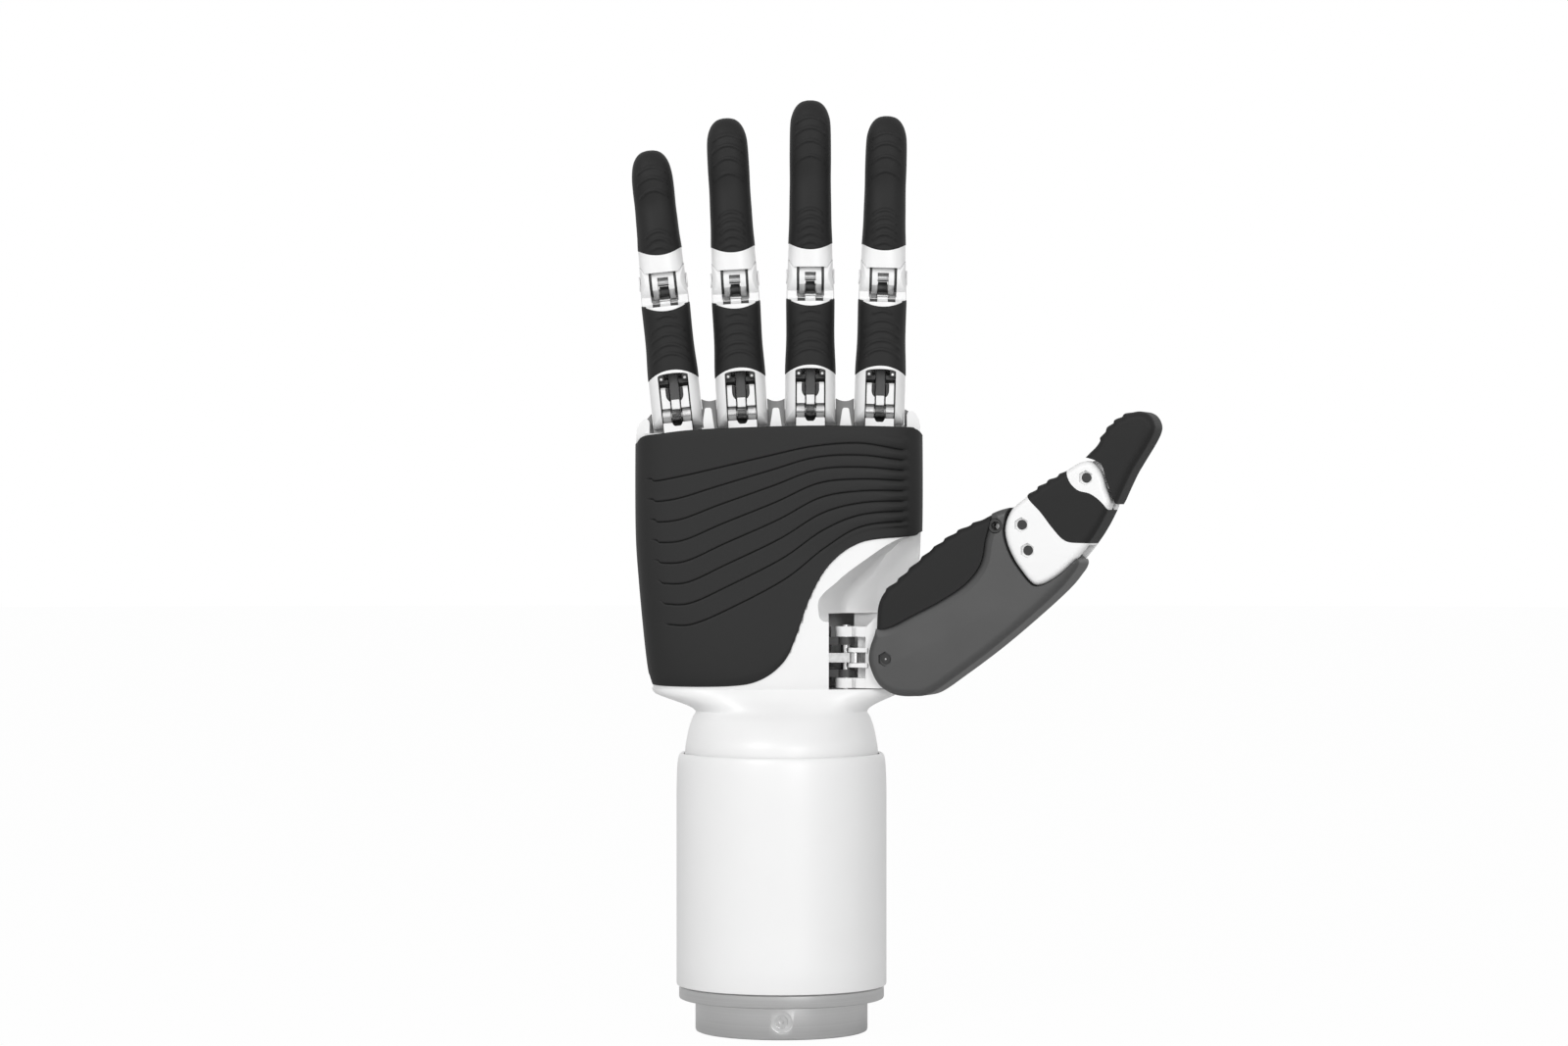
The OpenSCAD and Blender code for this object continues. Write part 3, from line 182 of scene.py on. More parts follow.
floor_mesh = bmesh.new()
bmesh.ops.create_circle(floor_mesh, cap_ends=True, radius=6, segments=64)
floor_data = bpy.data.meshes.new("floor")
floor_mesh.to_mesh(floor_data)
floor = bpy.data.objects.new("floor", floor_data)
floor.location.z = -0.0005
scene.collection.objects.link(floor)
floor_finish = Finish("pale floor", Base_Color=grey(0.82), Roughness=0.9)
floor_data.materials.append(floor_finish.material)
glow = floor_finish.node("ShaderNodeEmission", None, {"Color": (1, 1, 1, 1), "Strength": 1.0})[0]
sees = floor_finish.node("ShaderNodeLightPath")
shadow_mix = floor_finish.node(
    "ShaderNodeMixShader",
    None,
    {0: sees["Is Camera Ray"] * 0.975, 1: Socket(floor_finish, floor_finish.shader.outputs[0]), 2: glow},
)[0]
floor_finish.tree.links.new(
    shadow_mix.socket, floor_finish.tree.nodes["Material Output"].inputs["Surface"]
)

# ---------------------------------------------------------------- wrist mount
# Spigot and flange that the robot arm clamps: two rings turned from aluminium bar and bored for the cables.
# A clamp screw crosses the spigot at the palm side. Lathe marks run round both rings.


def revolved(profile, steps=160):
    """A ring or tube from its closed profile of (radius, height) points."""
    shape = bmesh.new()
    turns = [
        [shape.verts.new((r * math.cos(a), r * math.sin(a), z)) for r, z in profile]
        for a in (2 * math.pi * k / steps for k in range(steps))
    ]
    count = len(profile)
    for here, beyond in zip(turns, turns[1:] + turns[:1]):
        for k in range(count):
            shape.faces.new((here[k], beyond[k], beyond[(k + 1) % count], here[(k + 1) % count]))
    bmesh.ops.recalc_face_normals(shape, faces=shape.faces)
    return shape


def rod(start, end, radius, sides=48):
    """A plain round tool or bar between two points."""
    start, end = Vector(start), Vector(end)
    shape = bmesh.new()
    bmesh.ops.create_cone(
        shape, cap_ends=True, segments=sides, radius1=radius, radius2=radius, depth=(end - start).length
    )
    turn = (end - start).to_track_quat("Z", "Y").to_matrix().to_4x4()
    shape.transform(Matrix.Translation((start + end) / 2) @ turn)
    return shape


def as_object(name, shape):
    data = bpy.data.meshes.new(name)
    shape.to_mesh(data)
    made = bpy.data.objects.new(name, data)
    scene.collection.objects.link(made)
    return made


def machined(shape, *tools):
    """The shape after each (operation, tool) in turn."""
    blank = as_object("blank", shape)
    used = []
    for operation, tool in tools:
        used.append(as_object("tool", tool))
        step = blank.modifiers.new("step", "BOOLEAN")
        step.operation, step.object, step.solver = operation, used[-1], "EXACT"
    bpy.context.view_layer.update()
    made = bmesh.new()
    made.from_object(blank, bpy.context.evaluated_depsgraph_get())
    bmesh.ops.dissolve_degenerate(made, edges=made.edges, dist=0.002)
    for spent in [blank] + used:
        bpy.data.objects.remove(spent)
    return made


def fitted(name, shape, finish, slot, body, *stands_for, edge=0.0, sharp=35, place=None):
    """A finished piece from a shape in millimetres: rounded edges, material, and its place on the hand."""
    if place is not None:
        shape.transform(place)
    shape.transform(Matrix.Scale(MM, 4))
    made = as_object(name, shape)
    made.data.polygons.foreach_set("use_smooth", [True] * len(made.data.polygons))
    made.data.set_sharp_from_angle(angle=math.radians(sharp))
    if edge:
        rounding = made.modifiers.new("rounded edges", "BEVEL")
        rounding.width, rounding.segments = edge * MM, 2
        rounding.limit_method, rounding.angle_limit = "ANGLE", math.radians(sharp)
        rounding.use_clamp_overlap = True
    made.data.materials.append(finish.material)
    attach(made, body)
    if stands_for:
        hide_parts(*stands_for)
    return made


SPIGOT_R, SPIGOT_H = 24.2, 9.2
FLANGE_R, FLANGE_H = 28.8, 3.6
BORE_R = 17.0
CLAMP_Z = 5.0

lathed = Finish("turned aluminium", Roughness=0.3, Metallic=1.0)
spot = lathed.node("ShaderNodeSeparateXYZ", None, {0: lathed.place()})
radius = lathed.node("ShaderNodeMath", {"operation": "SQRT"},
    {0: spot["X"] * spot["X"] + spot["Y"] * spot["Y"]})[0]
cut_line = lathed.node("ShaderNodeCombineXYZ", None, {"X": radius, "Y": spot["Z"]})[0]
marks = lathed.node("ShaderNodeTexNoise", None, {"Vector": cut_line, "Scale": 5200.0, "Detail": 2.0})["Fac"]
lathed.shade(grey(0.5), grey(0.66), marks)
lathed.feed("Roughness", 0.24 + marks * 0.14)
lathed.bump(0.25, 0.00002, marks)

spigot = machined(
    revolved([(BORE_R, 0.4), (BORE_R + 0.4, 0), (SPIGOT_R - 0.7, 0), (SPIGOT_R - 0.2, 0.2), (SPIGOT_R, 0.7),
              (SPIGOT_R, SPIGOT_H), (BORE_R, SPIGOT_H)]),
    ("DIFFERENCE", rod((0, -BORE_R + 1, CLAMP_Z), (0, -SPIGOT_R - 2, CLAMP_Z), 1.85)),
    ("DIFFERENCE", rod((0, -SPIGOT_R + 1.2, CLAMP_Z), (0, -SPIGOT_R - 2, CLAMP_Z), 3.0)),
)
fitted("wrist_spigot_turned", spigot, lathed, "wrist_metal", "palm", "wrist_spigot", edge=0.12)
flange = revolved(
    [(BORE_R, SPIGOT_H), (FLANGE_R - 0.5, SPIGOT_H), (FLANGE_R - 0.15, SPIGOT_H + 0.15),
        (FLANGE_R, SPIGOT_H + 0.5),
     (FLANGE_R, SPIGOT_H + FLANGE_H - 0.3), (FLANGE_R - 0.3, SPIGOT_H + FLANGE_H),
         (BORE_R, SPIGOT_H + FLANGE_H)]
)
fitted("wrist_flange_turned", flange, lathed, "wrist_metal", "palm", "wrist_flange")

# ---------------------------------------------------------------- wrist sleeve
# Round cover over the wrist, drawn in at its crowned top edge and sprayed satin white like all the shells.
# The lacquer has a faint orange peel and is a little glossier than the plastic under it.

SLEEVE_R, SLEEVE_IN = 29.5, 27.6
SLEEVE_Z, SLEEVE_H = SPIGOT_H + FLANGE_H, 65.2
SLEEVE_TOP = SLEEVE_Z + SLEEVE_H


def lacquer(name, level, roughness):
    """Satin white lacquer with orange peel and slight unevenness."""
    made = Finish(name, Coat_Weight=0.12, Coat_Roughness=0.25)
    tint = made.noise(60.0, 4.0)
    peel = made.noise(1900.0, 2.0)
    made.shade(grey(level - 0.025), grey(level + 0.01), tint)
    made.feed("Roughness", roughness - 0.04 + peel * 0.08)
    made.bump(0.08, 0.00003, peel)
    return made


white = lacquer("satin white lacquer", 0.85, 0.4)
crown = [(SLEEVE_R - 0.75 * (1 - math.cos(a)) - 0.35 * (a / 1.4) ** 6, SLEEVE_TOP - 12 + 12 * math.sin(a))
         for a in (math.radians(k) for k in range(6, 82, 5))]
sleeve = revolved(
    [(SLEEVE_IN, SLEEVE_Z + 0.2), (SLEEVE_R - 0.5, SLEEVE_Z + 0.15), (SLEEVE_R - 0.12, SLEEVE_Z + 0.32),
     (SLEEVE_R, SLEEVE_Z + 0.7)]
    + [(SLEEVE_R, SLEEVE_Z + 0.7 + (SLEEVE_H - 12.7) * k / 8) for k in range(1, 9)]
    + crown + [(SLEEVE_R - 1.25, SLEEVE_TOP - 0.02), (SLEEVE_R - 1.6, SLEEVE_TOP - 0.2),
        (SLEEVE_IN, SLEEVE_TOP - 0.2)]
)
fitted("wrist_sleeve_cover", sleeve, white, "white_shell", "palm", "wrist_sleeve")
# ---------------------------------------------------------------- neck and palm shells
# Two white shells parted along the edge of the hand, on a neck that flares from the round wrist to the flat
# palm.
# The front shell is hollowed under the thumb, and the back one is scooped between the fingers and screwed on.

PALM_Z, PALM_TOP = 96.3, 170.3
PALM_LEFT, PALM_RIGHT, PALM_FRONT, PALM_BACK = 40.9, 39.6, 17.8, 15.2
PALM_MID, PALM_HW = (PALM_RIGHT - PALM_LEFT) / 2, (PALM_RIGHT + PALM_LEFT) / 2
# Outer sections of the palm at the pad's surface: height, half width, front, back, squareness, centre
PALM = [
    (PALM_Z, PALM_HW - 5.5, -PALM_FRONT + 1.2, PALM_BACK - 1, 3.4, PALM_MID - 0.9),
    (PALM_Z + 3, PALM_HW - 4.3, -PALM_FRONT + 0.5, PALM_BACK - 0.5, 3.6, PALM_MID - 0.5),
    (PALM_Z + 12, PALM_HW - 2.6, -PALM_FRONT, PALM_BACK, 3.8, PALM_MID),
    (PALM_Z + 30, PALM_HW - 0.9, -PALM_FRONT, PALM_BACK, 4, PALM_MID),
    (PALM_Z + 45, PALM_HW, -PALM_FRONT, PALM_BACK, 4, PALM_MID),
    (PALM_TOP - 3, PALM_HW, -PALM_FRONT, PALM_BACK - 0.6, 4, PALM_MID),
    (PALM_TOP, PALM_HW - 0.5, -PALM_FRONT + 0.6, PALM_BACK - 1.6, 3.8, PALM_MID),
]


def between(rows, t):
    """The rows' values at t, counted in rows, on a smooth curve through them."""
    i = max(0, min(int(t), len(rows) - 2))
    u = t - i
    four = rows[max(i - 1, 0)], rows[i], rows[i + 1], rows[min(i + 2, len(rows) - 1)]
    return [
        b + u * ((c - a) / 2 + u * ((2 * a - 5 * b + 4 * c - d) / 2 + u * (3 * b - a - 3 * c + d) / 2))
        for a, b, c, d in zip(*four)
    ]


def on_skin(rows, t, angle, out=0.0):
    """Point of a lofted body at an angle round its section, angle 0 at +X and a quarter turn at the back."""
    z, half, front, back, square, *centre = between(rows, t)
    x = math.copysign(abs(math.cos(angle)) ** (2 / square), math.cos(angle))
    y = math.copysign(abs(math.sin(angle)) ** (2 / square), math.sin(angle))
    middle = centre[0] if centre else 0.0
    return Vector((middle + (half + out) * x, (front + back) / 2 + ((back - front) / 2 + out) * y, z))


def round_the(square, wide, deep, count, start=0.0, turn=2 * math.pi):
    """Angles at which equal steps go round a section of that squareness and proportion."""
    def at(angle):
        x = math.copysign(abs(math.cos(angle)) ** (2 / square), math.cos(angle))
        y = math.copysign(abs(math.sin(angle)) ** (2 / square), math.sin(angle))
        return Vector((wide * x, deep * y))

    fine = [start + turn * k / 4000 for k in range(4001)]
    lengths = [0.0]
    for a, b in zip(fine, fine[1:]):
        lengths.append(lengths[-1] + (at(b) - at(a)).length)
    angles, i = [], 0
    for k in range(count):
        want = lengths[-1] * k / count
        while lengths[i + 1] < want:
            i += 1
        share = (want - lengths[i]) / (lengths[i + 1] - lengths[i])
        angles.append(fine[i] + (fine[i + 1] - fine[i]) * share)
    return angles


def row_at(rows, z):
    """How far up the rows a height lies."""
    low, high = 0.0, len(rows) - 1.0
    for _ in range(24):
        middle = (low + high) / 2
        low, high = (middle, high) if between(rows, middle)[0] < z else (low, middle)
    return (low + high) / 2


def ease(v):
    v = max(0.0, min(1.0, v))
    return v * v * (3 - 2 * v)


def height_of(curve, x):
    """Height of a front-view curve, given by its points from left to right, at x."""
    i = 0
    while i < len(curve) - 2 and curve[i + 1][0] < x:
        i += 1
    low, high = 0.0, 1.0
    for _ in range(20):
        middle = (low + high) / 2
        low, high = (middle, high) if between(curve, i + middle)[0] < x else (low, middle)
    return between(curve, i + low)[1]


PAD_LOW = [
    (-44, PALM_Z + 9.0), (-37.6, PALM_Z + 4.4), (-36.4, PALM_Z + 2.2), (-34.2, PALM_Z + 0.9),
        (-15, PALM_Z + 0.9), (-6, PALM_Z + 2.6),
    (0.6, PALM_Z + 7.6), (4, PALM_Z + 14.5), (8, PALM_Z + 25.5), (13.6, PALM_Z + 34.8), (22.4, PALM_Z + 40.8),
    (PALM_RIGHT - 4, PALM_Z + 42.4), (PALM_RIGHT - 1.8, PALM_Z + 42.8), (PALM_RIGHT - 0.6, PALM_Z + 43.6),
        (PALM_RIGHT + 3, PALM_Z + 44.4),
]
PAD_HIGH = [
    (-44, PALM_TOP - 5.6), (-40.6, PALM_TOP - 5.4), (-40, PALM_TOP - 4.6), (-39.2, PALM_TOP - 3.9),
        (-37.8, PALM_TOP - 3.4),
    (-34, PALM_TOP - 2.95), (-26.5, PALM_TOP - 2.1), (-16, PALM_TOP - 1.5), (2, PALM_TOP - 0.9),
        (18, PALM_TOP - 0.8),
    (PALM_RIGHT - 4, PALM_TOP - 1.1), (PALM_RIGHT - 2.6, PALM_TOP - 1.35), (PALM_RIGHT - 1.5, PALM_TOP - 1.8),
    (PALM_RIGHT - 0.8, PALM_TOP - 2.3), (PALM_RIGHT - 0.3, PALM_TOP - 2.8), (PALM_RIGHT, PALM_TOP - 3.0),
        (43, PALM_TOP - 3.1),
]

def cell(low, high):
    """Plain rectangular tool between two corners."""
    shape = bmesh.new()
    bmesh.ops.create_cube(shape, size=1.0)
    low, high = Vector(low), Vector(high)
    shape.transform(Matrix.Translation((low + high) / 2) @ Matrix.Diagonal((*(high - low), 1.0)))
    return shape


def plate(outline, axis, low, high):
    """A closed outline given thickness along an axis. Its points hold the other two coordinates in order."""
    lay = {
        "X": lambda u, v, d: (d, u, v),
        "Y": lambda u, v, d: (u, d, v),
        "Z": lambda u, v, d: (u, v, d),
    }[axis]
    shape = bmesh.new()
    faces = [[shape.verts.new(lay(u, v, d)) for u, v in outline] for d in (low, high)]
    for k in range(len(outline)):
        m = (k + 1) % len(outline)
        shape.faces.new((faces[0][k], faces[0][m], faces[1][m], faces[1][k]))
    shape.faces.new(faces[0])
    shape.faces.new(faces[1])
    bmesh.ops.recalc_face_normals(shape, faces=shape.faces)
    return shape


def lofted(rows, out=0.0, columns=128, size=0.8):
    """Closed smooth body over lofted sections, grown by out: a distance, or a function of the point."""
    shape = bmesh.new()
    levels = []
    for i in range(len(rows) - 1):
        count = max(1, round(abs(rows[i + 1][0] - rows[i][0]) / size))
        levels += [i + k / count for k in range(count)]
    levels.append(len(rows) - 1)
    middle = rows[len(rows) // 2]
    angles = round_the(middle[4], middle[1], (middle[3] - middle[2]) / 2, columns)
    rings = []
    for t in levels:
        ring = []
        for angle in angles:
            grow = out(on_skin(rows, t, angle)) if callable(out) else out
            ring.append(shape.verts.new(on_skin(rows, t, angle, grow)))
        rings.append(ring)
    for here, above in zip(rings, rings[1:]):
        for k in range(columns):
            m = (k + 1) % columns
            shape.faces.new((here[k], here[m], above[m], above[k]))
    shape.faces.new(list(reversed(rings[0])))
    shape.faces.new(rings[-1])
    return shape


NECK_D, WAIST_D, NECK_H = 55.0, 48.2, 18.3
NECK = [
    (SLEEVE_TOP - 9, NECK_D / 2 - 0.4, -NECK_D / 2 + 0.4, NECK_D / 2 - 0.4, 2, 0),
    (SLEEVE_TOP + 0.2, NECK_D / 2 - 0.4, -NECK_D / 2 + 0.4, NECK_D / 2 - 0.4, 2, 0),
    (SLEEVE_TOP + 3.6, NECK_D / 2 - 0.8, -NECK_D / 2 + 0.8, NECK_D / 2 - 1.2, 2, 0),
    (SLEEVE_TOP + 7, NECK_D / 2 - 1.5, -NECK_D / 2 + 2.6, NECK_D / 2 - 4, 2, 0),
    (SLEEVE_TOP + 10, NECK_D / 2 - 2.5, -NECK_D / 2 + 4.8, NECK_D / 2 - 7.5, 2.1, 0),
    (SLEEVE_TOP + 11.9, WAIST_D / 2, -NECK_D / 2 + 6.6, NECK_D / 2 - 10, 2.2, 0),
    (SLEEVE_TOP + 13.5, WAIST_D / 2 + 2.1, -NECK_D / 2 + 8, NECK_D / 2 - 11.8, 2.4, -0.4),
    (SLEEVE_TOP + 15.2, WAIST_D / 2 + 6.2, -NECK_D / 2 + 9.4, NECK_D / 2 - 12.8, 2.7, -1),
    (SLEEVE_TOP + 16.8, WAIST_D / 2 + 10, -NECK_D / 2 + 10.3, NECK_D / 2 - 13.2, 3, -1.3),
    (SLEEVE_TOP + NECK_H, PALM_HW - 5.4, -PALM_FRONT + 1.4, PALM_BACK - 1.2, 3.4, -1.5),
]
YAW_X, YAW_Y, YAW_REST = 17.9, 9.6, 18.0
BASE_REACH = 13.6
HOUSING_HW = 7.5
# Place of the thumb: its turning axis, out along the thumb as +X and to the back as +Y
at_thumb = Matrix.Translation((YAW_X, -YAW_Y, 0)) @ Matrix.Rotation(math.radians(-YAW_REST), 4, "Z")


def placed(shape, place):
    shape.transform(place)
    return shape


swing_relief = machined(
    cell((YAW_X - 7, -YAW_Y - 60, PALM_Z - 2.4), (YAW_X + 53, -YAW_Y + 6, PALM_Z + 0.6)),
    ("DIFFERENCE", rod((YAW_X, -YAW_Y, 0), (YAW_X, -YAW_Y, 200), 13.2, 96)),
)
neck = machined(
    lofted(NECK, columns=144, size=0.7),
    ("DIFFERENCE", rod((0, 0, SLEEVE_TOP - 20), (0, 0, SLEEVE_TOP + 40), 9)),
    ("DIFFERENCE", swing_relief),
)
fitted("wrist_neck_shell", neck, white, "white_shell", "palm", "wrist_neck", edge=0.2)

PAD_T, SHELL_WALL, KNUCKLE_T, SEAT_GAP = 1.8, 1.6, 7.0, 0.03
PART_Y = -2.0
SHELL_TOP = PALM_TOP - KNUCKLE_T - SEAT_GAP


def shell_drop(point):
    """The shell stands just under the cover's surface, and deeper where the cover lies on it."""
    inside = (
        point.y < 0 and point.z > height_of(PAD_LOW, point.x) + 1.3 and point.z < height_of(PAD_HIGH,
            point.x) - 1.3
    )
    return -1.7 if inside else -0.5


def hollow_tool():
    """The hollow that the thumb's base swings into, with soft corners between its floor and walls."""
    front = [(9.4, 18.4), (9.4, 25.5), (15.5, 30.5), (30, 40.8), (46, 46.5), (46, 18.4)]
    back = [(17, 20), (17, 25), (20, 29), (33, 41), (46, 46.5), (46, 20)]
    shape = bmesh.new()
    for y, outline in ((-21.0, front), (-4.0, back)):
        for x, z in outline:
            slope = (y + 19) / 15 if y < -19 else 0
            shape.verts.new((x + slope * 7, y, PALM_Z + z))
    bmesh.ops.convex_hull(shape, input=shape.verts)
    bmesh.ops.delete(shape, geom=[v for v in shape.verts if not v.link_faces], context="VERTS")
    bmesh.ops.dissolve_limit(shape, angle_limit=0.02, verts=shape.verts, edges=shape.edges)
    soft = [e for e in shape.edges if e.verts[0].co.y > -20 or e.verts[1].co.y > -20]
    bmesh.ops.bevel(shape, geom=soft, offset=2.2, segments=5, profile=0.5, affect="EDGES", clamp_overlap=True)
    return shape


thumb_side = placed(cell((-12, -50, 0), (58, HOUSING_HW + 0.5, 300)), at_thumb)
thumb_hollow = machined(hollow_tool(), ("INTERSECT", thumb_side.copy()))
yoke_opening = machined(
    cell((13.1, -40, PALM_Z - 1), (53.1, -1.5, PALM_Z + 21)), ("INTERSECT", thumb_side)
)
LEVER_Z = PALM_Z + 8.8
inside = machined(
    lofted(PALM, -PAD_T - SHELL_WALL, columns=96, size=3),
    ("DIFFERENCE", cell((11.5, -40, PALM_Z - 2), (51.5, 0, PALM_Z + 43))),
)
front_shell = machined(
    lofted(PALM, shell_drop, columns=192, size=0.7),
    ("INTERSECT", cell((-60, PART_Y - 40, PALM_Z), (60, PART_Y, SHELL_TOP))),
    ("DIFFERENCE", inside),
    ("DIFFERENCE", thumb_hollow),
    ("DIFFERENCE", yoke_opening),
    ("DIFFERENCE", cell((0, -15.1, LEVER_Z - 2), (15, -5.1, LEVER_Z + 2))),
    ("DIFFERENCE", cell((7, -12.4, PALM_Z - 1), (15, -0.9, PALM_Z + 18))),
)
fitted("palm_front_cover", front_shell, white, "white_shell", "palm", "palm_front_shell", edge=0.18, sharp=28)

SCREWS = (-15.0, 14.0)
SCREW_R = 1.9


def scoops():
    """Rounds cut from the guard's edge between and beside the fingers."""
    xs = [(a[0] + b[0]) / 2 for a, b in zip(list(FINGERS.values()), list(FINGERS.values())[1:])]
    tools = [(x, PALM_TOP + 10.5, 5.4) for x in xs]
    tools += [(-PALM_LEFT - 1, PALM_TOP + 9, 8.0), (PALM_RIGHT + 1, PALM_TOP + 9, 8.0)]
    return [("DIFFERENCE", rod((x, -40, z), (x, 40, z), r, 72)) for x, z, r in tools]


# Knuckle X, knuckle Z, lean away from vertical, and length of the fingertip segment
FINGERS = {
    "little": (-29.6, PALM_TOP + 5.1, -6.0, 37.1),
    "ring": (-11.2, PALM_TOP + 5.7, -3.2, 45.3),
    "middle": (8.1, PALM_TOP + 6.5, 0.0, 49.4),
    "index": (27.6, PALM_TOP + 6.2, 1.5, 45.3),
}
guard_rows = [
    (PALM_TOP - 3 + s, PALM_HW - 0.9 - s / 6, -PALM_FRONT, PALM_BACK - 1 - s / 4, 4, PALM_MID) for s in (0,
        3.7, 7.5)
]
guard = machined(
    lofted(guard_rows, columns=160), ("INTERSECT", cell((-60, 10.2, 0), (60, 30.2, PALM_TOP + 6))), *scoops()
)
# The palm's sections, run on past both ends
open_ended = [(PALM_Z - 1, *PALM[0][1:]), *PALM[1:-1], (PALM_TOP + 1, *PALM[-1][1:])]
back_shell = machined(
    lofted(PALM, -0.5, columns=160, size=1.0),
    ("DIFFERENCE", lofted(open_ended, -0.5 - SHELL_WALL, columns=96, size=3)),
    ("UNION", guard),
    ("DIFFERENCE", cell((-60, PART_Y - 40, 0), (60, PART_Y, 300))),
    ("DIFFERENCE", cell((-60, -60, SHELL_TOP), (60, 9.8, 300))),
    *[("DIFFERENCE",
        rod((x, PALM_BACK - 2, PALM_Z + 8), (x, PALM_BACK + 2, PALM_Z + 8), SCREW_R + 0.1)) for x in SCREWS],
)
fitted("palm_back_cover", back_shell, white, "white_shell", "palm", "palm_back_shell", edge=0.18)

# ---------------------------------------------------------------- palm pad
# Thick soft cover on the front of the palm, cut away in an S round the base of the thumb. Eight thin grooves
# flow up from the little-finger side and bunch together under the forefinger, with soft ridges at their ends.

GROOVES = 8


def groove(k):
    """Front-view curve of one groove, counted from the fingers."""
    u = k / (GROOVES - 1)
    left, right = PALM_TOP - 16.3 - 39.6 * u, PALM_TOP - 7.6 - 19.8 * u
    return [
        (-44, left), (-36.4 + 3.4 * u, left), (-29 + 4 * u, left + 1.2 * (1 - u)),
        (-18 + 4 * u, left + (right - left) * (0.42 - 0.26 * u)),
            (-4 + 5 * u, left + (right - left) * (0.8 - 0.36 * u)),
        (9 + 3 * u, left + (right - left) * (1.12 - 0.38 * u)), (22, right + 1.9 - 3.4 * u), (34.4, right),
            (44, right - 0.5),
    ]


def palm_cover():
    """The cover as a grid: rows follow the lower edge, the grooves in turn and the top edge."""
    curves = [groove(k) for k in range(GROOVES - 1, -1, -1)]
    angles = round_the(4, PALM_HW, (PALM_FRONT + PALM_BACK) / 2, 200, math.pi - 0.05, math.pi + 0.1)
    # Distance from a groove's middle, in mm, at which its rows lie
    around = (-1.1, -0.62, -0.32, -0.17, -0.08, 0.0, 0.08, 0.17, 0.32, 0.62, 1.1)
    shape = bmesh.new()
    outer = []
    for angle in angles:
        t = 3.0
        for _ in range(5):
            x = on_skin(PALM, t, angle).x
            t = row_at(PALM, height_of(PAD_LOW, x))
        t_low, t = t, 5.5
        for _ in range(5):
            x = on_skin(PALM, t, angle).x
            t = row_at(PALM, height_of(PAD_HIGH, x))
        t_high = t
        low, high = between(PALM, t_low)[0], between(PALM, t_high)[0]
        mids = []
        for curve in curves:
            t = 3.0
            for _ in range(3):
                x = on_skin(PALM, t, angle).x
                z = height_of(curve, x) + 0.8 * ease((curve[1][0] + 0.9 - x) / 0.9)
                t = row_at(PALM, z)
            mids.append(z)
        heights, depths = [], []

        def row(z, deep):
            heights.append(z)
            depths.append(deep)

        x = on_skin(PALM, (t_low + t_high) / 2, angle).x
        last = low
        for k, z in enumerate(mids):
            live = z - low > 2.2
            z = max(z, low + 2.2 + 0.02 * k)
            run = 8 if k == 0 else 4
            start = last
            for n in range(1, run + 1):
                row(start + (z - 1.1 - start) * n / run if z - 1.1 > start else start + 0.02 * n, 0.0)
            u = (GROOVES - 1 - k) / (GROOVES - 1)
            ends = ease((x + 36.6 - 3.4 * u) / 1.2) * ease((34.6 - x) / 0.8) * (1 if live else 0)
            for off in around[1:-1]:
                row(max(z + off, heights[-1] + 0.01), -0.42 * ends * math.exp(-((off / 0.14) ** 2)))
            last = max(z + 1.1, heights[-1] + 0.01)
        for n in range(1, 9):
            row(last + (high - 0.45 - last) * n / 8, 0.0)
        # Soft ridges between the grooves at the forefinger side, then the plain soft band
        near = ease((x - 25.5) / 6) * ease((36.2 - x) / 2.4)
        wide = ease((x - 2) / 22) * ease((35.6 - x) / 3.0)
        column = []
        for deep, rise in ((1.5, 0.0), (0.5, 0.0), (0.16, 0.07), (0.04, 0.24)):
            column.append(on_skin(PALM, row_at(PALM, low + rise), angle, -deep))
        for z, deep in zip(heights, depths):
            if z < low + 0.4:
                z = low + 0.4 + 0.001 * len(column)
            gaps = sorted(abs(z - m) for m in mids)
            swell = 0.0
            if z > mids[0] - 1.2 and z < mids[-1] + 3 and len(gaps) > 1:
                swell = (0.32 * near + 0.1 * wide) * math.sin(min(gaps[0], 1.3) / 1.3 * math.pi / 2) ** 2
            # Hollow above the S, where the ball of the thumb closes in
            dip = 0.55 * math.exp(-(((x - 9) / 9) ** 2) - ((z - PALM_Z - 38) / 8) ** 2)
            band = 0.25 * ease((x - 35.2) / 1.6)
            column.append(on_skin(PALM, row_at(PALM, z), angle, deep + swell - dip * 0.6 - band * 0.3))
        for deep, rise in ((0.04, 0.24), (0.16, 0.07), (0.5, 0.0), (1.5, 0.0)):
            column.append(on_skin(PALM, row_at(PALM, high - rise), angle, -deep))
        outer.append([shape.verts.new(p) for p in column])
    for here, beyond in zip(outer, outer[1:]):
        for k in range(len(here)):
            m = (k + 1) % len(here)
            shape.faces.new((here[k], beyond[k], beyond[m], here[m]))
    shape.faces.new(list(reversed(outer[0])))
    shape.faces.new(outer[-1])
    return shape


def soft_rubber(name, shade):
    """Moulded silicone skin: fine mould grain, faint handling shine."""
    made = Finish(name, Specular_IOR_Level=0.22)
    cloud = made.noise(90.0, 4.0)
    grain = made.noise(5200.0, 2.0)
    made.shade(grey(shade * 0.88), grey(shade * 1.1), cloud)
    made.feed("Roughness", 0.5 + cloud * 0.1 + grain * 0.06)
    made.bump(0.12, 0.00003, grain)
    return made


rubber = soft_rubber("black silicone", 0.013)
palm_rubber = soft_rubber("palm silicone", 0.017)
fitted("palm_cover", palm_cover(), palm_rubber, "soft_pad", "palm", "palm_pad", sharp=70)
# ---------------------------------------------------------------- knuckle row
# White block across the top of the palm with one slotted lug for each finger, slim webs between the fingers
# and a
# rounded shoulder at each end. Each lug holds two ground pins: the knuckle pin and, in front, the coupler's
# anchor.

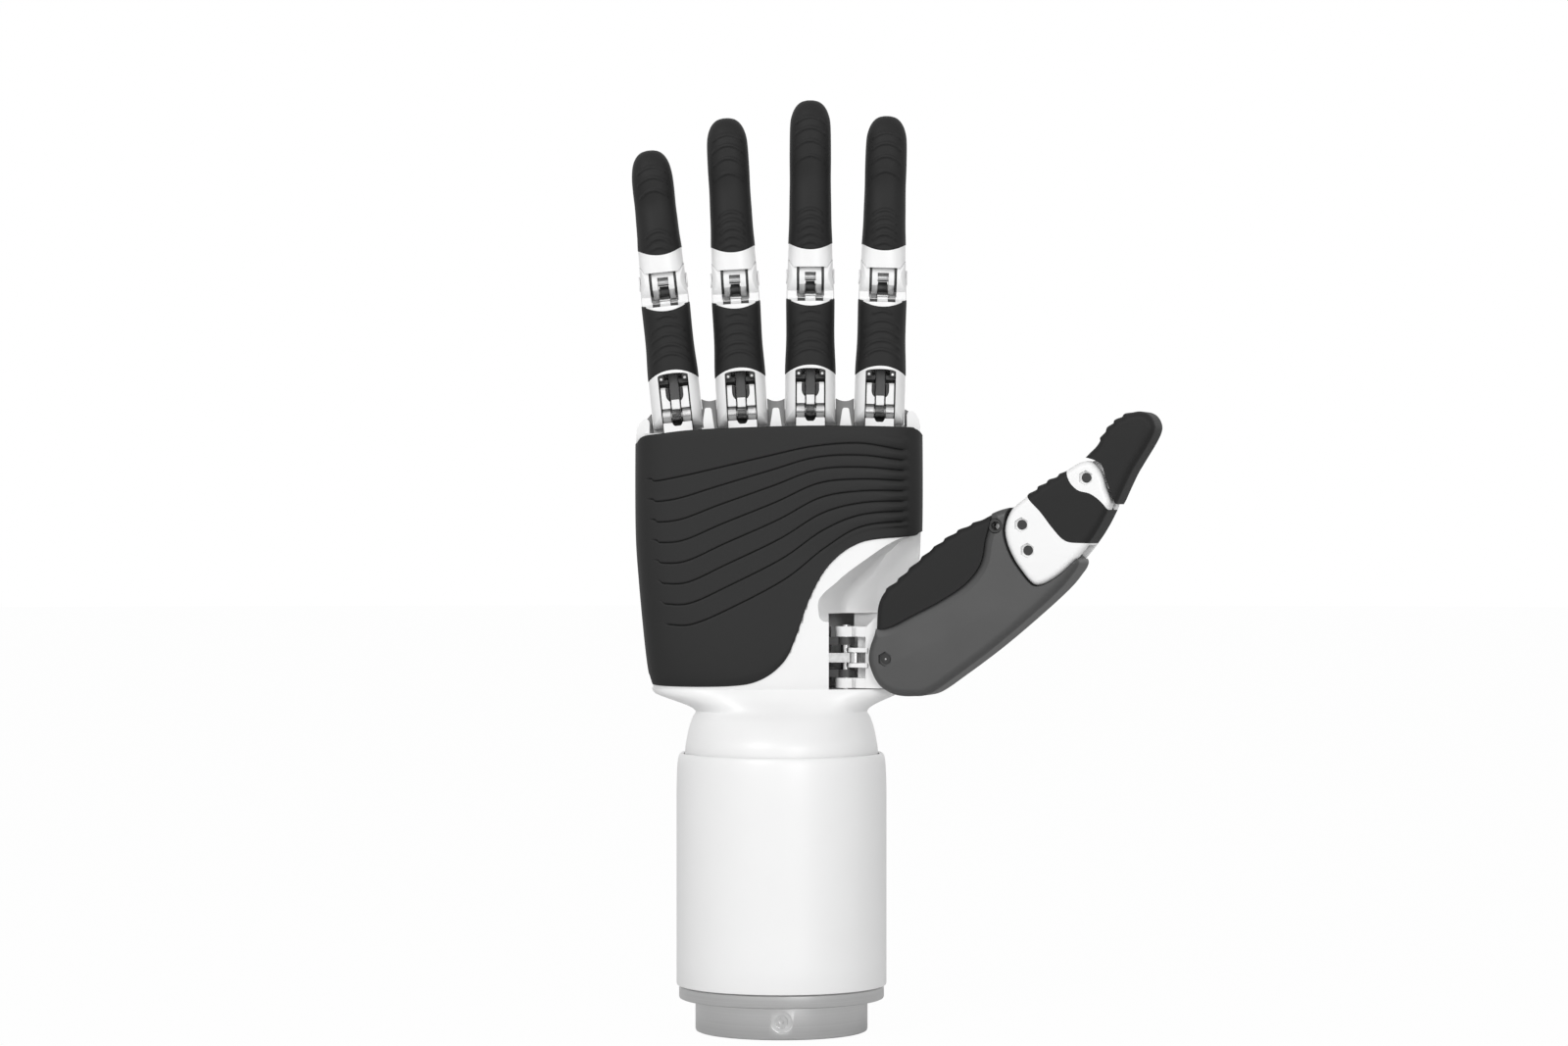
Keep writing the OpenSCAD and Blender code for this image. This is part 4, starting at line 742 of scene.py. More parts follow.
FINGER_HW, LEG_T, LEG_R, EAR_HW, EAR_R, PROXIMAL_LEN = 7.05, 2.8, 6.0, 6.4, 4.75, 35.0
GAP_W, SIDE_GAP, LINK_T = 2 * (FINGER_HW - LEG_T), 0.25, 2.6
LUG_W = GAP_W - 2 * SIDE_GAP
PIN_R, SMALL_PIN_R = 1.1, 0.9
HALF_SWING = math.radians(40)
ANCHOR_Y, ANCHOR_Z = -4.2 * math.cos(HALF_SWING), -4.2 * math.sin(HALF_SWING)
DRIVE_Y, DRIVE_Z = 6.5 * math.cos(HALF_SWING), -6.5 * math.sin(HALF_SWING)
DRIVE_PLAY = 6.5 * (1 - math.cos(HALF_SWING)) / 2


def at_finger(name, up=0.0):
    x, z, lean, _ = FINGERS[name]
    return (
        Matrix.Translation((x, 0, z)) @ Matrix.Rotation(math.radians(lean), 4,
            "Y") @ Matrix.Translation((0, 0, up))
    )


def arc(centre, radius, start, end, count=16):
    """Points of an arc, in degrees from its first axis."""
    turns = [math.radians(start + (end - start) * k / count) for k in range(count + 1)]
    return [(centre[0] + radius * math.cos(a), centre[1] + radius * math.sin(a)) for a in turns]


def grained(name, scale, dark, light, rough, spread, strength=0.1, depth=0.00003, **shader):
    """A finish with a fine grain that shifts its shade, roughness and relief together."""
    made = Finish(name, **shader)
    grain = made.noise(scale, 3.0)
    made.shade(grey(dark), grey(light), grain)
    made.feed("Roughness", rough + grain * spread)
    made.bump(strength, depth, grain)
    return made


# Black nylon for the thumb's link bush; the same black also paints the shade of the gaps, notches and hollows
# round the knuckles and forks and on the thumb's socket floors
black_nylon_and_painted_shade = grained("black nylon and painted shade", 1500.0, 0.008, 0.02, 0.38, 0.2)
ground = grained("ground steel", 900.0, 0.5, 0.68, 0.16, 0.16, 0.15, 0.00002, Metallic=1.0)
grey_nylon = grained("dark grey nylon", 1300.0, 0.03, 0.05, 0.36, 0.16)
guard_nylon = grained("mid grey nylon", 1300.0, 0.19, 0.24, 0.45, 0.14)

palm_rim = [on_skin(PALM, 5, a, -PAD_T - 0.73) for a in round_the(4, PALM_HW, 16.5, 160)]
row = plate([(p.x, p.y) for p in palm_rim], "Z", PALM_TOP - KNUCKLE_T, PALM_TOP)
steps_of_row = [
    ("INTERSECT", cell((-60, -60, PALM_TOP - KNUCKLE_T), (60, 9.6, PALM_TOP))),
    ("DIFFERENCE", cell((-60, -60, PALM_TOP - 2.8), (60, 8.4, PALM_TOP + 1))),
]
between_fingers = [(a[0] + b[0]) / 2 for a, b in zip(list(FINGERS.values()), list(FINGERS.values())[1:])]
for x in between_fingers:
    web = plate([(x - 2.0, PALM_TOP - 3.4), (x + 2.0, PALM_TOP - 3.4), (x + 0.9, PALM_TOP + 3.9),
        (x + 0.55, PALM_TOP + 4.2),
                 (x - 0.55, PALM_TOP + 4.2), (x - 0.9, PALM_TOP + 3.9)], "Y", -14.5, -7.5)
    steps_of_row.append(("UNION", web))
horn = [(-1.6, -6.6), (1.85, -6.6), (1.85, 2.5), (1.5, 3.3), (0.9, 3.6), (0.2, 3.4), (-0.7, 2.6),
    (-1.45, 1.2), (-1.8, -0.6), (-1.85, -3)]
for x, z, side in ((-PALM_LEFT + 2.1, PALM_TOP - 2.3, 1), (PALM_RIGHT - 2.65, PALM_TOP, -1)):
    steps_of_row.append(("UNION", plate([(x + side * u, z + v) for u, v in horn][::side], "Y", -7.0, 6.4)))
for finger in FINGERS:
    for tool in (
        rod((-FINGER_HW - SIDE_GAP, 0, 0), (FINGER_HW + SIDE_GAP, 0, 0), LEG_R + SIDE_GAP, 96),
        rod((-FINGER_HW - SIDE_GAP, DRIVE_Y, DRIVE_Z), (FINGER_HW + SIDE_GAP, DRIVE_Y, DRIVE_Z),
            SMALL_PIN_R + 1.65, 48),
        cell((-FINGER_HW - SIDE_GAP, -20, -7.3), (FINGER_HW + SIDE_GAP, 0, 2.7)),
    ):
        steps_of_row.append(("DIFFERENCE", placed(tool, at_finger(finger))))
notched = machined(row, *steps_of_row)
guards = [
    [(x - 5.4, -2.7),
        (x + 5.4, -2.7)] + [(x + 0.4 * k, 6.5 + 0.12 * (0.4 * k) ** 2) for k in range(13, -14, -1)]
    for x in between_fingers
]
guards.append([(-39.6, -2.7), (-34, -2.7), (-34, 5.6), (-36.4, 3.2), (-38.1, 1.1), (-39.4, -0.4)])
guards.append([(33, -2.7), (37.9, -2.7), (37.6, 1.9), (36.6, 3.2), (34.9, 4.1), (33, 5.9)])
for order, edge in enumerate(guards):
    guard = machined(
        plate([(x, PALM_TOP + z) for x, z in edge], "Y", 0.6, 3.4),
        *[("DIFFERENCE",
            placed(cell((-FINGER_HW - 0.15, -20, -20), (FINGER_HW + 0.15, 20, 30)), at_finger(finger)))
          for finger in FINGERS],
    )
    fitted(f"knuckle_guard_{order + 1}", guard, guard_nylon, "housing_grey", "palm", edge=0.25)
lug_side = [(-5.2, -9), (3.1, -9), (3.1, -4.3)] + arc((0, 0), 5.3, -54, 42, 12) + [(3.6, 5.2), (-4.6, 5.2),
    (-5.2, 4.6)]
SLOT_HW = LINK_T / 2 + SIDE_GAP
# Room behind the lugs for the drive rods' heads: front and back of it
ROD_FRONT, ROD_BACK = DRIVE_Y + DRIVE_PLAY - 2.8, DRIVE_Y + DRIVE_PLAY + 3.8
for finger in FINGERS:
    u_notch = [(-2.45, 8), (-2.45, 3.4)] + arc((0, 3.1), 2.45, 180, 360, 18) + [(2.45, 8)]
    lug = machined(
        plate(lug_side, "X", -LUG_W / 2 + 0.2, LUG_W / 2 - 0.2),
        ("DIFFERENCE", cell((-SLOT_HW, -11.2, -5.73), (SLOT_HW, 0.2, 10.7))),
        ("DIFFERENCE",
            cell((-LUG_W / 2 - 1, -8.6, ANCHOR_Z - 2.0), (LUG_W / 2 + 1, ANCHOR_Y, ANCHOR_Z + 2.0))),
        ("DIFFERENCE", plate(u_notch, "Y", -6.2, -1.2)),
        ("DIFFERENCE", cell((-SLOT_HW, ROD_FRONT, -14.5), (SLOT_HW, ROD_BACK, 6.5))),
    )
    notched = machined(
        notched,
        ("DIFFERENCE", placed(cell((-SLOT_HW, -11.2, -5.73), (SLOT_HW, 0.2, 4)), at_finger(finger))),
        ("DIFFERENCE", placed(cell((-SLOT_HW, ROD_FRONT, -14.5), (SLOT_HW, ROD_BACK, 4)), at_finger(finger))),
    )
    fitted(finger + "_lug", lug, white, "white_shell", "palm", edge=0.2, place=at_finger(finger))
    # Black fill in the U-notch in front of the slot: painted shade for the notch's shadowed inside
    bush = machined(
        plate([(x * 0.97, min(z, 5.0)) for x, z in u_notch], "Y", -4.4, -1.1),
        ("DIFFERENCE", cell((-SLOT_HW, -12, -2), (SLOT_HW, 0, 12))),
    )
    # Thin face over the lug's foot, with a half-round notch below the link's eye
    foot = [(-LUG_W / 2, -8.8), (LUG_W / 2, -8.8), (LUG_W / 2, -4.75), (SLOT_HW - 0.1, -4.75)]
    foot += arc((0, -4.5), SLOT_HW - 0.1, 350, 190, 14) + [(-SLOT_HW + 0.1, -4.75), (-LUG_W / 2, -4.75)]
    fitted(finger + "_lug_face", plate(foot, "Y", -5.65, -5.22), white, "white_shell", "palm", edge=0.12,
        place=at_finger(finger))
    # Thin black plates on the back wall and floor of the slot behind the half-round notch: painted shade for
    # the slot's shadowed inside
    painted_shade_pocket = machined(
        cell((-SLOT_HW + 0.01, -5.15, -5.72), (SLOT_HW - 0.01, 0.19, -5.58)),
        ("UNION", cell((-SLOT_HW + 0.01, 0.02, -5.72), (SLOT_HW - 0.01, 0.19, -2.8))),
    )
    fitted(finger + "_lug_pocket", painted_shade_pocket, black_nylon_and_painted_shade, "white_shell", "palm", place=at_finger(finger))
    for side, word in ((-1, "left"), (1, "right")):
        # A black washer fills the side gap between lug and leg: painted shade for the shadowed gap
        painted_gap_shade = plate(lug_side, "X", *sorted((side * (LUG_W / 2 - 0.2), side * (GAP_W / 2 - 0.04))))
        painted_gap_shade = machined(painted_gap_shade,
            ("DIFFERENCE", cell((-9, -8.6, ANCHOR_Z - 2.0), (9, ANCHOR_Y, ANCHOR_Z + 2.0))))
        fitted(
            f"{finger}_lug_washer_{word}", painted_gap_shade, black_nylon_and_painted_shade, "white_shell", "palm", place=at_finger(finger)
        )
        sleeve = rod((side * (SLOT_HW + 0.02), ANCHOR_Y, ANCHOR_Z),
            (side * (LUG_W / 2 - 0.02), ANCHOR_Y, ANCHOR_Z), 1.95, 64)
        fitted(f"{finger}_anchor_sleeve_{word}", sleeve, ground, "steel", "palm", edge=0.12,
            place=at_finger(finger))
    fitted(finger + "_lug_bush", bush, black_nylon_and_painted_shade, "white_shell", "palm", edge=0.15, place=at_finger(finger))
fitted("knuckle_row", notched, white, "white_shell", "palm", "knuckle_block", edge=0.18)
# ---------------------------------------------------------------- finger pads
# Soft black skins moulded over the front and sides of each finger: a sleeve on the proximal segment and a cap
# over the whole fingertip. Arched grip ribs stand up on the front, in two groups on the tip and one on the
# sleeve.

# Outer sections: height, half width, front, back, squareness
PROXIMAL = [
    (-7.4, FINGER_HW - 0.15, -6.4, 7.6, 2.6),
    (0, FINGER_HW, -6.6, 7.5, 2.6),
    (9, FINGER_HW - 0.05, -7, 7.2, 2.5),
    (18, FINGER_HW - 0.4, -6.5, 6.6, 2.4),
    (30.5, FINGER_HW - 0.35, -6, 6.1, 2.6),
    (PROXIMAL_LEN, EAR_HW, -5.8, 6, 3),
    (PROXIMAL_LEN + EAR_R + 0.2, EAR_HW - 0.1, -5.6, 5.8, 3),
]
PAD_STAND = 0.14


def fingertip(length):
    step = (length - 9) / 40.4
    return [
        (2.5, EAR_HW - 0.1, -5.7, 6.1, 2.6),
        (9, EAR_HW - 0.3, -6, 6.1, 2.5),
        (9 + 6 * step, 5.85, -6.2, 5.9, 2.3),
        (9 + 12 * step, 5.75, -5.5, 5.7, 2.3),
        (9 + 18 * step, 5.65, -5.1, 5.4, 2.3),
        (9 + 25 * step, 5.7, -5.8, 4.9, 2.3),
        (length - 7, 5.55, -5.9, 4, 2.2),
        (length - 3.85, 4.95, -5.2, 3.3, 2.2),
        (length - 1.75, 3.9, -4.2, 2.4, 2.1),
        (length - 0.49, 2.5, -3, 1.2, 2),
        (length, 0.9, -1.4, -0.2, 2),
    ]


def rib(x, z, top, half, sag, width=0.52):
    """How much of an arched rib's height stands at a point of the pad's front."""
    along = abs(x) / half
    across = abs(z - top + sag * along * along) / width
    return ease((1 - across) / 0.36) * ease((1.1 - along) / 0.16)


def pad_skin(rows, low_edge, high_edge, levels, ribs, columns, height):
    """A closed soft skin over a lofted body between two curved edges, with rolled lips and grip ribs.

    An edge gives the height at which the skin ends for a given x; high_edge is None where it closes in a dome.
    """
    shape = bmesh.new()
    grid = []
    for angle in columns:
        t_low = t_high = None
        for edge, start in ((low_edge, row_at(rows, levels[0])), (high_edge, row_at(rows, levels[-1]))):
            if edge is None:
                t_high = len(rows) - 1.0
                continue
            t = start
            for _ in range(6):
                t = row_at(rows, edge(on_skin(rows, t, angle).x))
            if edge is low_edge:
                t_low = t
            else:
                t_high = t
        points = []
        lip = 0.42
        marks = [row_at(rows, z) for z in levels]
        lowest, highest = marks[0], marks[-1]
        # Levels squeezed so that the first and last follow the edges
        def eased(t):
            if t <= marks[len(marks) // 3]:
                pivot = marks[len(marks) // 3]
                return pivot + (t - pivot) * (pivot - t_low) / (pivot - lowest)
            if high_edge is not None and t >= marks[-len(marks) // 3]:
                pivot = marks[-len(marks) // 3]
                return pivot + (t - pivot) * (t_high - pivot) / (highest - pivot)
            return t
        path = [eased(t) for t in marks]
        first = on_skin(rows, path[0], angle)
        for deep, rise in ((0.9, 0.02), (lip, 0.0), (lip * 0.3, lip * 0.14), (lip * 0.06, lip * 0.5)):
            points.append(on_skin(rows, path[0], angle, PAD_STAND - deep) + Vector((0, 0, rise)))
        for t in path[1 if high_edge is None else 1 : None if high_edge is None else -1]:
            skin = on_skin(rows, t, angle)
            stand = PAD_STAND
            if skin.y < 0:
                stand += height * max((rib(skin.x, skin.z, *one) for one in ribs), default=0)
            points.append(on_skin(rows, t, angle, stand))
        if high_edge is not None:
            for deep, rise in ((lip * 0.06, lip * 0.5), (lip * 0.3, lip * 0.14), (lip, 0.0), (0.9, 0.02)):
                points.append(on_skin(rows, path[-1], angle, PAD_STAND - deep) - Vector((0, 0, rise)))
        grid.append([shape.verts.new(p) for p in points])
    for here, beyond in zip(grid, grid[1:] + grid[:1]):
        for k in range(len(here) - 1):
            shape.faces.new((here[k], beyond[k], beyond[k + 1], here[k + 1]))
        if high_edge is not None:
            shape.faces.new((here[-1], beyond[-1], beyond[0], here[0]))
    if high_edge is None:
        shape.faces.new([column[0] for column in reversed(grid)])
        top = [column[-1] for column in grid]
        crown = shape.verts.new(sum((v.co for v in top), Vector()) / len(top) + Vector((0, 0, 0.06)))
        for k in range(len(top)):
            shape.faces.new((top[k], top[(k + 1) % len(top)], crown))
    return shape


# Columns close together over the front, wider apart over the back
ROUND = [math.pi * (1 + k / 46) for k in range(46)] + [math.pi * k / 18 for k in range(18)]


def steps(start, end, size):
    count = max(1, round((end - start) / size))
    return [start + (end - start) * k / count for k in range(count)]


for finger, (x, z, lean, length) in FINGERS.items():
    reach = length - 49.4
    # Tip: rows close together where the ribs are
    upper = [(44.4 + reach, 3.7, 1.6), (41.4 + reach, 3.9, 1.9), (37.8 + reach, 3.8, 2.0),
        (33.6 + reach, 3.7, 2.0)]
    lower = [(18.7, 3.1, 1.5), (16.5, 3.3, 1.7), (14.1, 3.3, 1.8), (11.9, 3.2, 1.8), (9.6, 2.6, 1.2)]
    if finger == "little":
        upper, lower = upper[:3], lower[2:]
    top = upper[-1][0] - 3.4
    heights = (
        steps(8.2, lower[0][0] + 1.2, 0.24) + steps(lower[0][0] + 1.2, top, 0.9) + steps(top, length - 3.8,
            0.24)
        + steps(length - 3.8, length - 0.4, 0.28) + steps(length - 0.4, length, 0.14) + [length]
    )
    cap = pad_skin(
        fingertip(length), lambda x: 17.6 - math.sqrt(10.4**2 - min(abs(x), 8) ** 2), None,
        heights, upper + lower, ROUND, 0.3,
    )
    fitted(finger + "_tip_skin", cap, rubber, "soft_pad", finger + "_tip_body", finger + "_tip_pad",
           sharp=60, place=at_finger(finger, PROXIMAL_LEN))
    grips = [(25.4, 2.6, 0.9), (22.8, 4.4, 2.0), (20.0, 4.6, 2.1), (17.2, 4.7, 2.2), (14.6, 4.7, 2.2)]
    heights = steps(9.2, 11.5, 0.5) + steps(11.5, 26.6, 0.24) + [27.2]
    sleeve_skin = pad_skin(
        PROXIMAL, lambda x: -1.1 + math.sqrt(11**2 - min(abs(x), 9) ** 2),
        lambda x: 37.6 - math.sqrt(11**2 - min(abs(x), 9) ** 2), heights, grips, ROUND, 0.26,
    )
    fitted(finger + "_proximal_skin", sleeve_skin, rubber, "soft_pad", finger + "_proximal_body",
           finger + "_proximal_pad", sharp=60, place=at_finger(finger))
# ---------------------------------------------------------------- finger segments
# White moulded segments: the proximal one is a fork at both ends, and the distal one a collar with a tongue
# and a
# tang for the tip skin. A black link crosses from the knuckle's anchor pin to the tongue, and a rod drives
# the heel.

SWING_P = math.radians(44)
COUPLER_ARM = 4.2 / 1.1
COUPLER_Y, COUPLER_Z = COUPLER_ARM * math.cos(SWING_P), PROXIMAL_LEN - COUPLER_ARM * math.sin(SWING_P)
ANCHOR_PLAY = 4.2 * (1 - math.cos(HALF_SWING)) / 2
COUPLER_PLAY = COUPLER_ARM * (1 - math.cos(SWING_P)) / 2
TONGUE_W = 7.2
EYE_T = 0.75


def slot_eye(centre, radius, spread, count=12):
    """Outline of a long round-ended eye, spread along its first axis."""
    return arc((centre[0] + spread, centre[1]), radius, -90, 90, count) + arc(
        (centre[0] - spread, centre[1]), radius, 90, 270, count
    )


leg_side = (
    arc((0, 0), LEG_R, 180, 262, 16)
    + [(DRIVE_Y - 1.2, DRIVE_Z - 2.0)] + arc((DRIVE_Y, DRIVE_Z), SMALL_PIN_R + 1.4, -100, 0, 8)
    + [(7.4, 4), (7.4, 26), (6.4, 31)]
    + arc((0, PROXIMAL_LEN), EAR_R, 0, 240, 36)
    + [(-2.3, 28.9), (-3.2, 28.35), (-4.4, 27.95), (-8, 27.75), (-8, 3), (-7.2, 1)]
)
for finger, (x, z, lean, length) in FINGERS.items():
    gap = GAP_W / 2
    window = [(-gap, -20), (gap, -20), (gap, 8.3)] + [(gap * math.cos(a), 8.3 + 0.8 * math.sin(a)) for a in
              (math.pi * k / 12 for k in range(1, 12))] + [(-gap, 8.3)]
    segment = machined(
        lofted(PROXIMAL, columns=96, size=0.9),
        ("INTERSECT", plate(leg_side, "X", -10, 10)),
        ("DIFFERENCE", rod((-gap, 0, 0), (gap, 0, 0), LEG_R + 2.6, 96)),
        ("DIFFERENCE", cell((-gap, -20, -20), (gap, 20, 0))),
        ("DIFFERENCE", plate(window, "Y", -20, -1.4)),
        ("DIFFERENCE", cell((-SLOT_HW, -2.7, 3), (SLOT_HW, 5.1, 26.5))),
        ("DIFFERENCE", cell((-SLOT_HW, -1.4, 26), (SLOT_HW, 5.1, 32))),
        ("DIFFERENCE", cell((-3.6, -9, 27.85), (-1.45, -1.3, 29.8))),
        ("DIFFERENCE", cell((1.45, -9, 27.85), (3.6, -1.3, 29.8))),
        ("DIFFERENCE",
            rod((-TONGUE_W / 2 - SIDE_GAP, 0, PROXIMAL_LEN), (TONGUE_W / 2 + SIDE_GAP, 0, PROXIMAL_LEN),
            EAR_R + 1.3, 96)),
        ("DIFFERENCE", rod((-14, 0, 0), (14, 0, 0), PIN_R + 0.04)),
        ("DIFFERENCE", rod((-14, DRIVE_Y, DRIVE_Z), (14, DRIVE_Y, DRIVE_Z), SMALL_PIN_R)),
        ("DIFFERENCE", rod((EAR_HW, 0, PROXIMAL_LEN), (EAR_HW + 4, 0, PROXIMAL_LEN), PIN_R + 1.0)),
        ("DIFFERENCE", rod((-EAR_HW, 0, PROXIMAL_LEN), (-EAR_HW - 4, 0, PROXIMAL_LEN), PIN_R + 1.0)),
    )
    fitted(finger + "_segment", segment, white, "white_shell", finger + "_proximal_body",
        finger + "_proximal",
           edge=0.22, sharp=32, place=at_finger(finger))
    # Black liners in the top of the fork, painted shade for its shadowed cavity, with a sprung stop on each
    # side
    painted_shade_hood = machined(
        rod((-gap + 0.02, 0, 0), (gap - 0.02, 0, 0), LEG_R + 2.55, 96),
        ("DIFFERENCE", rod((-9, 0, 0), (9, 0, 0), LEG_R + 1.6, 96)),
        ("DIFFERENCE", cell((-9, -20, -20), (9, 20, 5.35))),
        ("DIFFERENCE", cell((-9, -20, -20), (9, -4.4, 20))),
        ("DIFFERENCE", cell((-SLOT_HW, -8, 0), (SLOT_HW, 5.1, 12))),
    )
    fitted(finger + "_fork_hood", painted_shade_hood, black_nylon_and_painted_shade, "white_shell", finger + "_proximal_body",
        place=at_finger(finger))
    painted_shade_liner = machined(
        cell((-gap + 0.02, -5.9, 5.2), (gap - 0.02, -1.3, 9.0)),
        ("DIFFERENCE", cell((-2.5, -12, 4), (2.5, -2.2, 12))),
        ("DIFFERENCE", cell((-gap - 1, -12, 4), (gap + 1, -2.2, 6.9))),
        ("DIFFERENCE", rod((-gap - 1, 0, 0), (gap + 1, 0, 0), 7.55, 96)),
        ("DIFFERENCE", cell((-LINK_T / 2 - SIDE_GAP, -8, 3), (LINK_T / 2 + SIDE_GAP, 5.1, 12))),
    )
    fitted(finger + "_fork_liner", painted_shade_liner, black_nylon_and_painted_shade, "white_shell", finger + "_proximal_body", edge=0.2,
           place=at_finger(finger))
    roller = rod((-SLOT_HW, -0.95, 29.75), (SLOT_HW, -0.95, 29.75), 0.5, 32)
    fitted(finger + "_roller", roller, ground, "steel", finger + "_proximal_body", edge=0.05,
        place=at_finger(finger))
    for side in (-1, 1):
        # Black pad at the back of each notch below the window: painted shade for the notch's shadowed depth
        foot = cell((side * 1.45 if side > 0 else -3.6, -2.0, 27.87),
            (3.6 if side > 0 else -1.45, -1.32, 28.9))
        fitted(finger + ("_buffer_left" if side < 0 else "_buffer_right"), foot, black_nylon_and_painted_shade, "white_shell",
               finger + "_proximal_body", place=at_finger(finger))
        stop = rod((side * 3.3, -6.05, 7.6), (side * 3.3, -5.4, 7.6), 0.42, 24)
        fitted(finger + ("_stop_left" if side < 0 else "_stop_right"), stop, ground, "steel",
               finger + "_proximal_body", edge=0.12, place=at_finger(finger))

    up = PROXIMAL_LEN
    rows = fingertip(length)
    tongue = (
        arc((0, 0), 4.0, 110, 215, 14) + arc((COUPLER_Y, COUPLER_Z - up), SMALL_PIN_R + 1, -125, 20, 10)
        + [(4.4, -1.0), (4.4, 7), (-3.4, 7)]
    )
    collar = machined(
        lofted([row for row in rows if row[0] < 16], columns=96, size=0.8),
        ("INTERSECT", cell((-10, -10, -6), (10, 10, 11))),
        ("DIFFERENCE", rod((-9, 0, 0), (9, 0, 0), EAR_R + SIDE_GAP + 0.1, 96)),
        ("DIFFERENCE",
            placed(lofted([(row[0], *row[1:]) for row in rows if row[0] < 16], -0.62, columns=64, size=2),
                              Matrix.Translation((0, 0, 7.0)))),
        ("UNION", plate(tongue, "X", -TONGUE_W / 2 + 0.5, TONGUE_W / 2 - 0.5)),
        ("DIFFERENCE", cell((-SLOT_HW, -6, -5.2), (SLOT_HW, 8, 1.15))),
        ("DIFFERENCE", rod((-9, 0, 0), (9, 0, 0), PIN_R + 0.04)),
        ("UNION", rod((-TONGUE_W / 2 + 0.15, COUPLER_Y, COUPLER_Z - up),
            (TONGUE_W / 2 - 0.15, COUPLER_Y, COUPLER_Z - up), SMALL_PIN_R)),
    )
    fitted(finger + "_collar", collar, white, "white_shell", finger + "_tip_body", finger + "_distal",
           edge=0.2, sharp=32, place=at_finger(finger, up))

    for side, word in ((-1, "left"), (1, "right")):
        # A black washer fills the side gap between the tongue and the ears: painted shade for the shadowed gap
        painted_gap_shade = machined(
            plate(arc((0, 0), 4.0, 0, 360, 64)[:-1], "X",
                *sorted((side * (TONGUE_W / 2 - 0.5), side * (TONGUE_W / 2 + SIDE_GAP - 0.04)))),
            ("UNION", plate([(-3.9, 0), (3.9, 0), (3.9, 4.6), (-3.9, 4.6)], "X",
                            *sorted((side * (TONGUE_W / 2 - 0.51),
                                side * (TONGUE_W / 2 + SIDE_GAP - 0.05))))),
        )
        fitted(f"{finger}_tongue_washer_{word}", painted_gap_shade, black_nylon_and_painted_shade, "white_shell", finger + "_tip_body",
               place=at_finger(finger, up))

    low, high = (ANCHOR_Y - ANCHOR_PLAY, ANCHOR_Z), (COUPLER_Y + COUPLER_PLAY, COUPLER_Z)
    link = machined(
        plate(slot_eye(low, PIN_R + EYE_T, ANCHOR_PLAY), "X", -LINK_T / 2, LINK_T / 2),
        ("UNION", plate(slot_eye(high, SMALL_PIN_R + EYE_T, COUPLER_PLAY), "X", -LINK_T / 2, LINK_T / 2)),
        ("UNION", plate([(low[0] - 1.1, low[1]), (low[0] + 1.1, low[1]), (high[0] + 1.1, high[1]),
            (high[0] - 1.1, high[1])],
                        "X", -LINK_T / 2 + 0.02, LINK_T / 2 - 0.02)),
        ("DIFFERENCE", plate(slot_eye(low, PIN_R + EYE_T - 0.05, ANCHOR_PLAY), "X", -4, 4)),
        ("DIFFERENCE", plate(slot_eye(high, SMALL_PIN_R + 0.22, COUPLER_PLAY + 0.04), "X", -4, 4)),
    )
    fitted(finger + "_link", link, grey_nylon, "steel", finger + "_coupler_body", finger + "_coupler",
        edge=0.15,
           place=at_finger(finger))
    eye = machined(
        plate(slot_eye(low, PIN_R + EYE_T, ANCHOR_PLAY), "X", -LINK_T / 2, LINK_T / 2),
        ("DIFFERENCE", plate(slot_eye(low, PIN_R + 0.22, ANCHOR_PLAY + 0.04), "X", -4, 4)),
    )
    fitted(finger + "_link_eye", eye, ground, "steel", finger + "_coupler_body", edge=0.1,
        place=at_finger(finger))
    shoe = cell((-1.15, ANCHOR_Y - 1.95, -1.05), (1.15, ANCHOR_Y - 0.6, 1.65))
    fitted(finger + "_link_shoe", shoe, white, "white_shell", finger + "_coupler_body", edge=0.2,
        place=at_finger(finger))
# ---------------------------------------------------------------- thumb base housing
# Dark grey anodised body of the thumb's first segment, with rounded edges and a chamfer under its soft pad.
# It holds
# the bend actuator, carries a hexagon-socket pin at its foot and ends in a tongue for the white middle
# segment.

P0 = (BASE_REACH, PALM_Z + 8.6)
P1 = (P0[0] + 38.8, P0[1] + 37.1)
P2 = (P1[0] + 18.1, P1[1] + 12.8)
B1 = (P1[0] + 1.7, P1[1] - 7.0)
H1 = (P1[0] - 7.4, P1[1] - 0.3)
CHEEK_GAP, SOCKET_R, SOCKET_T, THUMB_PIN_R, LINK_W = 3.6, 2.1, 1.1, 1.35, 2.2


def ring_through(points, steps):
    """Smooth closed curve through the points."""
    count, curve = len(points), []
    for i in range(count):
        a, b, c, d = (points[(i + k) % count] for k in (-1, 0, 1, 2))
        for u in (k / steps for k in range(steps)):
            curve.append(tuple(
                q + u * ((r - p) / 2 + u * ((2 * p - 5 * q + 4 * r - s) / 2 + u * (3 * q - p - 3 * r + s) / 2))
                for p, q, r, s in zip(a, b, c, d)
            ))
    return curve


def line_through(points, steps):
    """Smooth open curve through the points."""
    return [tuple(between(points, k / steps)) for k in range((len(points) - 1) * steps + 1)]


def moved(points, start):
    return [(start[0] + u, start[1] + v) for u, v in points]


def normals(outline, closed=True):
    """Unit normals of an outline, to the right of its direction."""
    count, found = len(outline), []
    for i in range(count):
        a = outline[i - 1] if closed or i else outline[0]
        b = outline[(i + 1) % count] if closed or i < count - 1 else outline[-1]
        along = Vector((b[0] - a[0], b[1] - a[1])).normalized()
        found.append((along.y, -along.x))
    return found


def drawn_in(outline, depth):
    return [(p[0] - depth * n[0], p[1] - depth * n[1]) for p, n in zip(outline, normals(outline))]


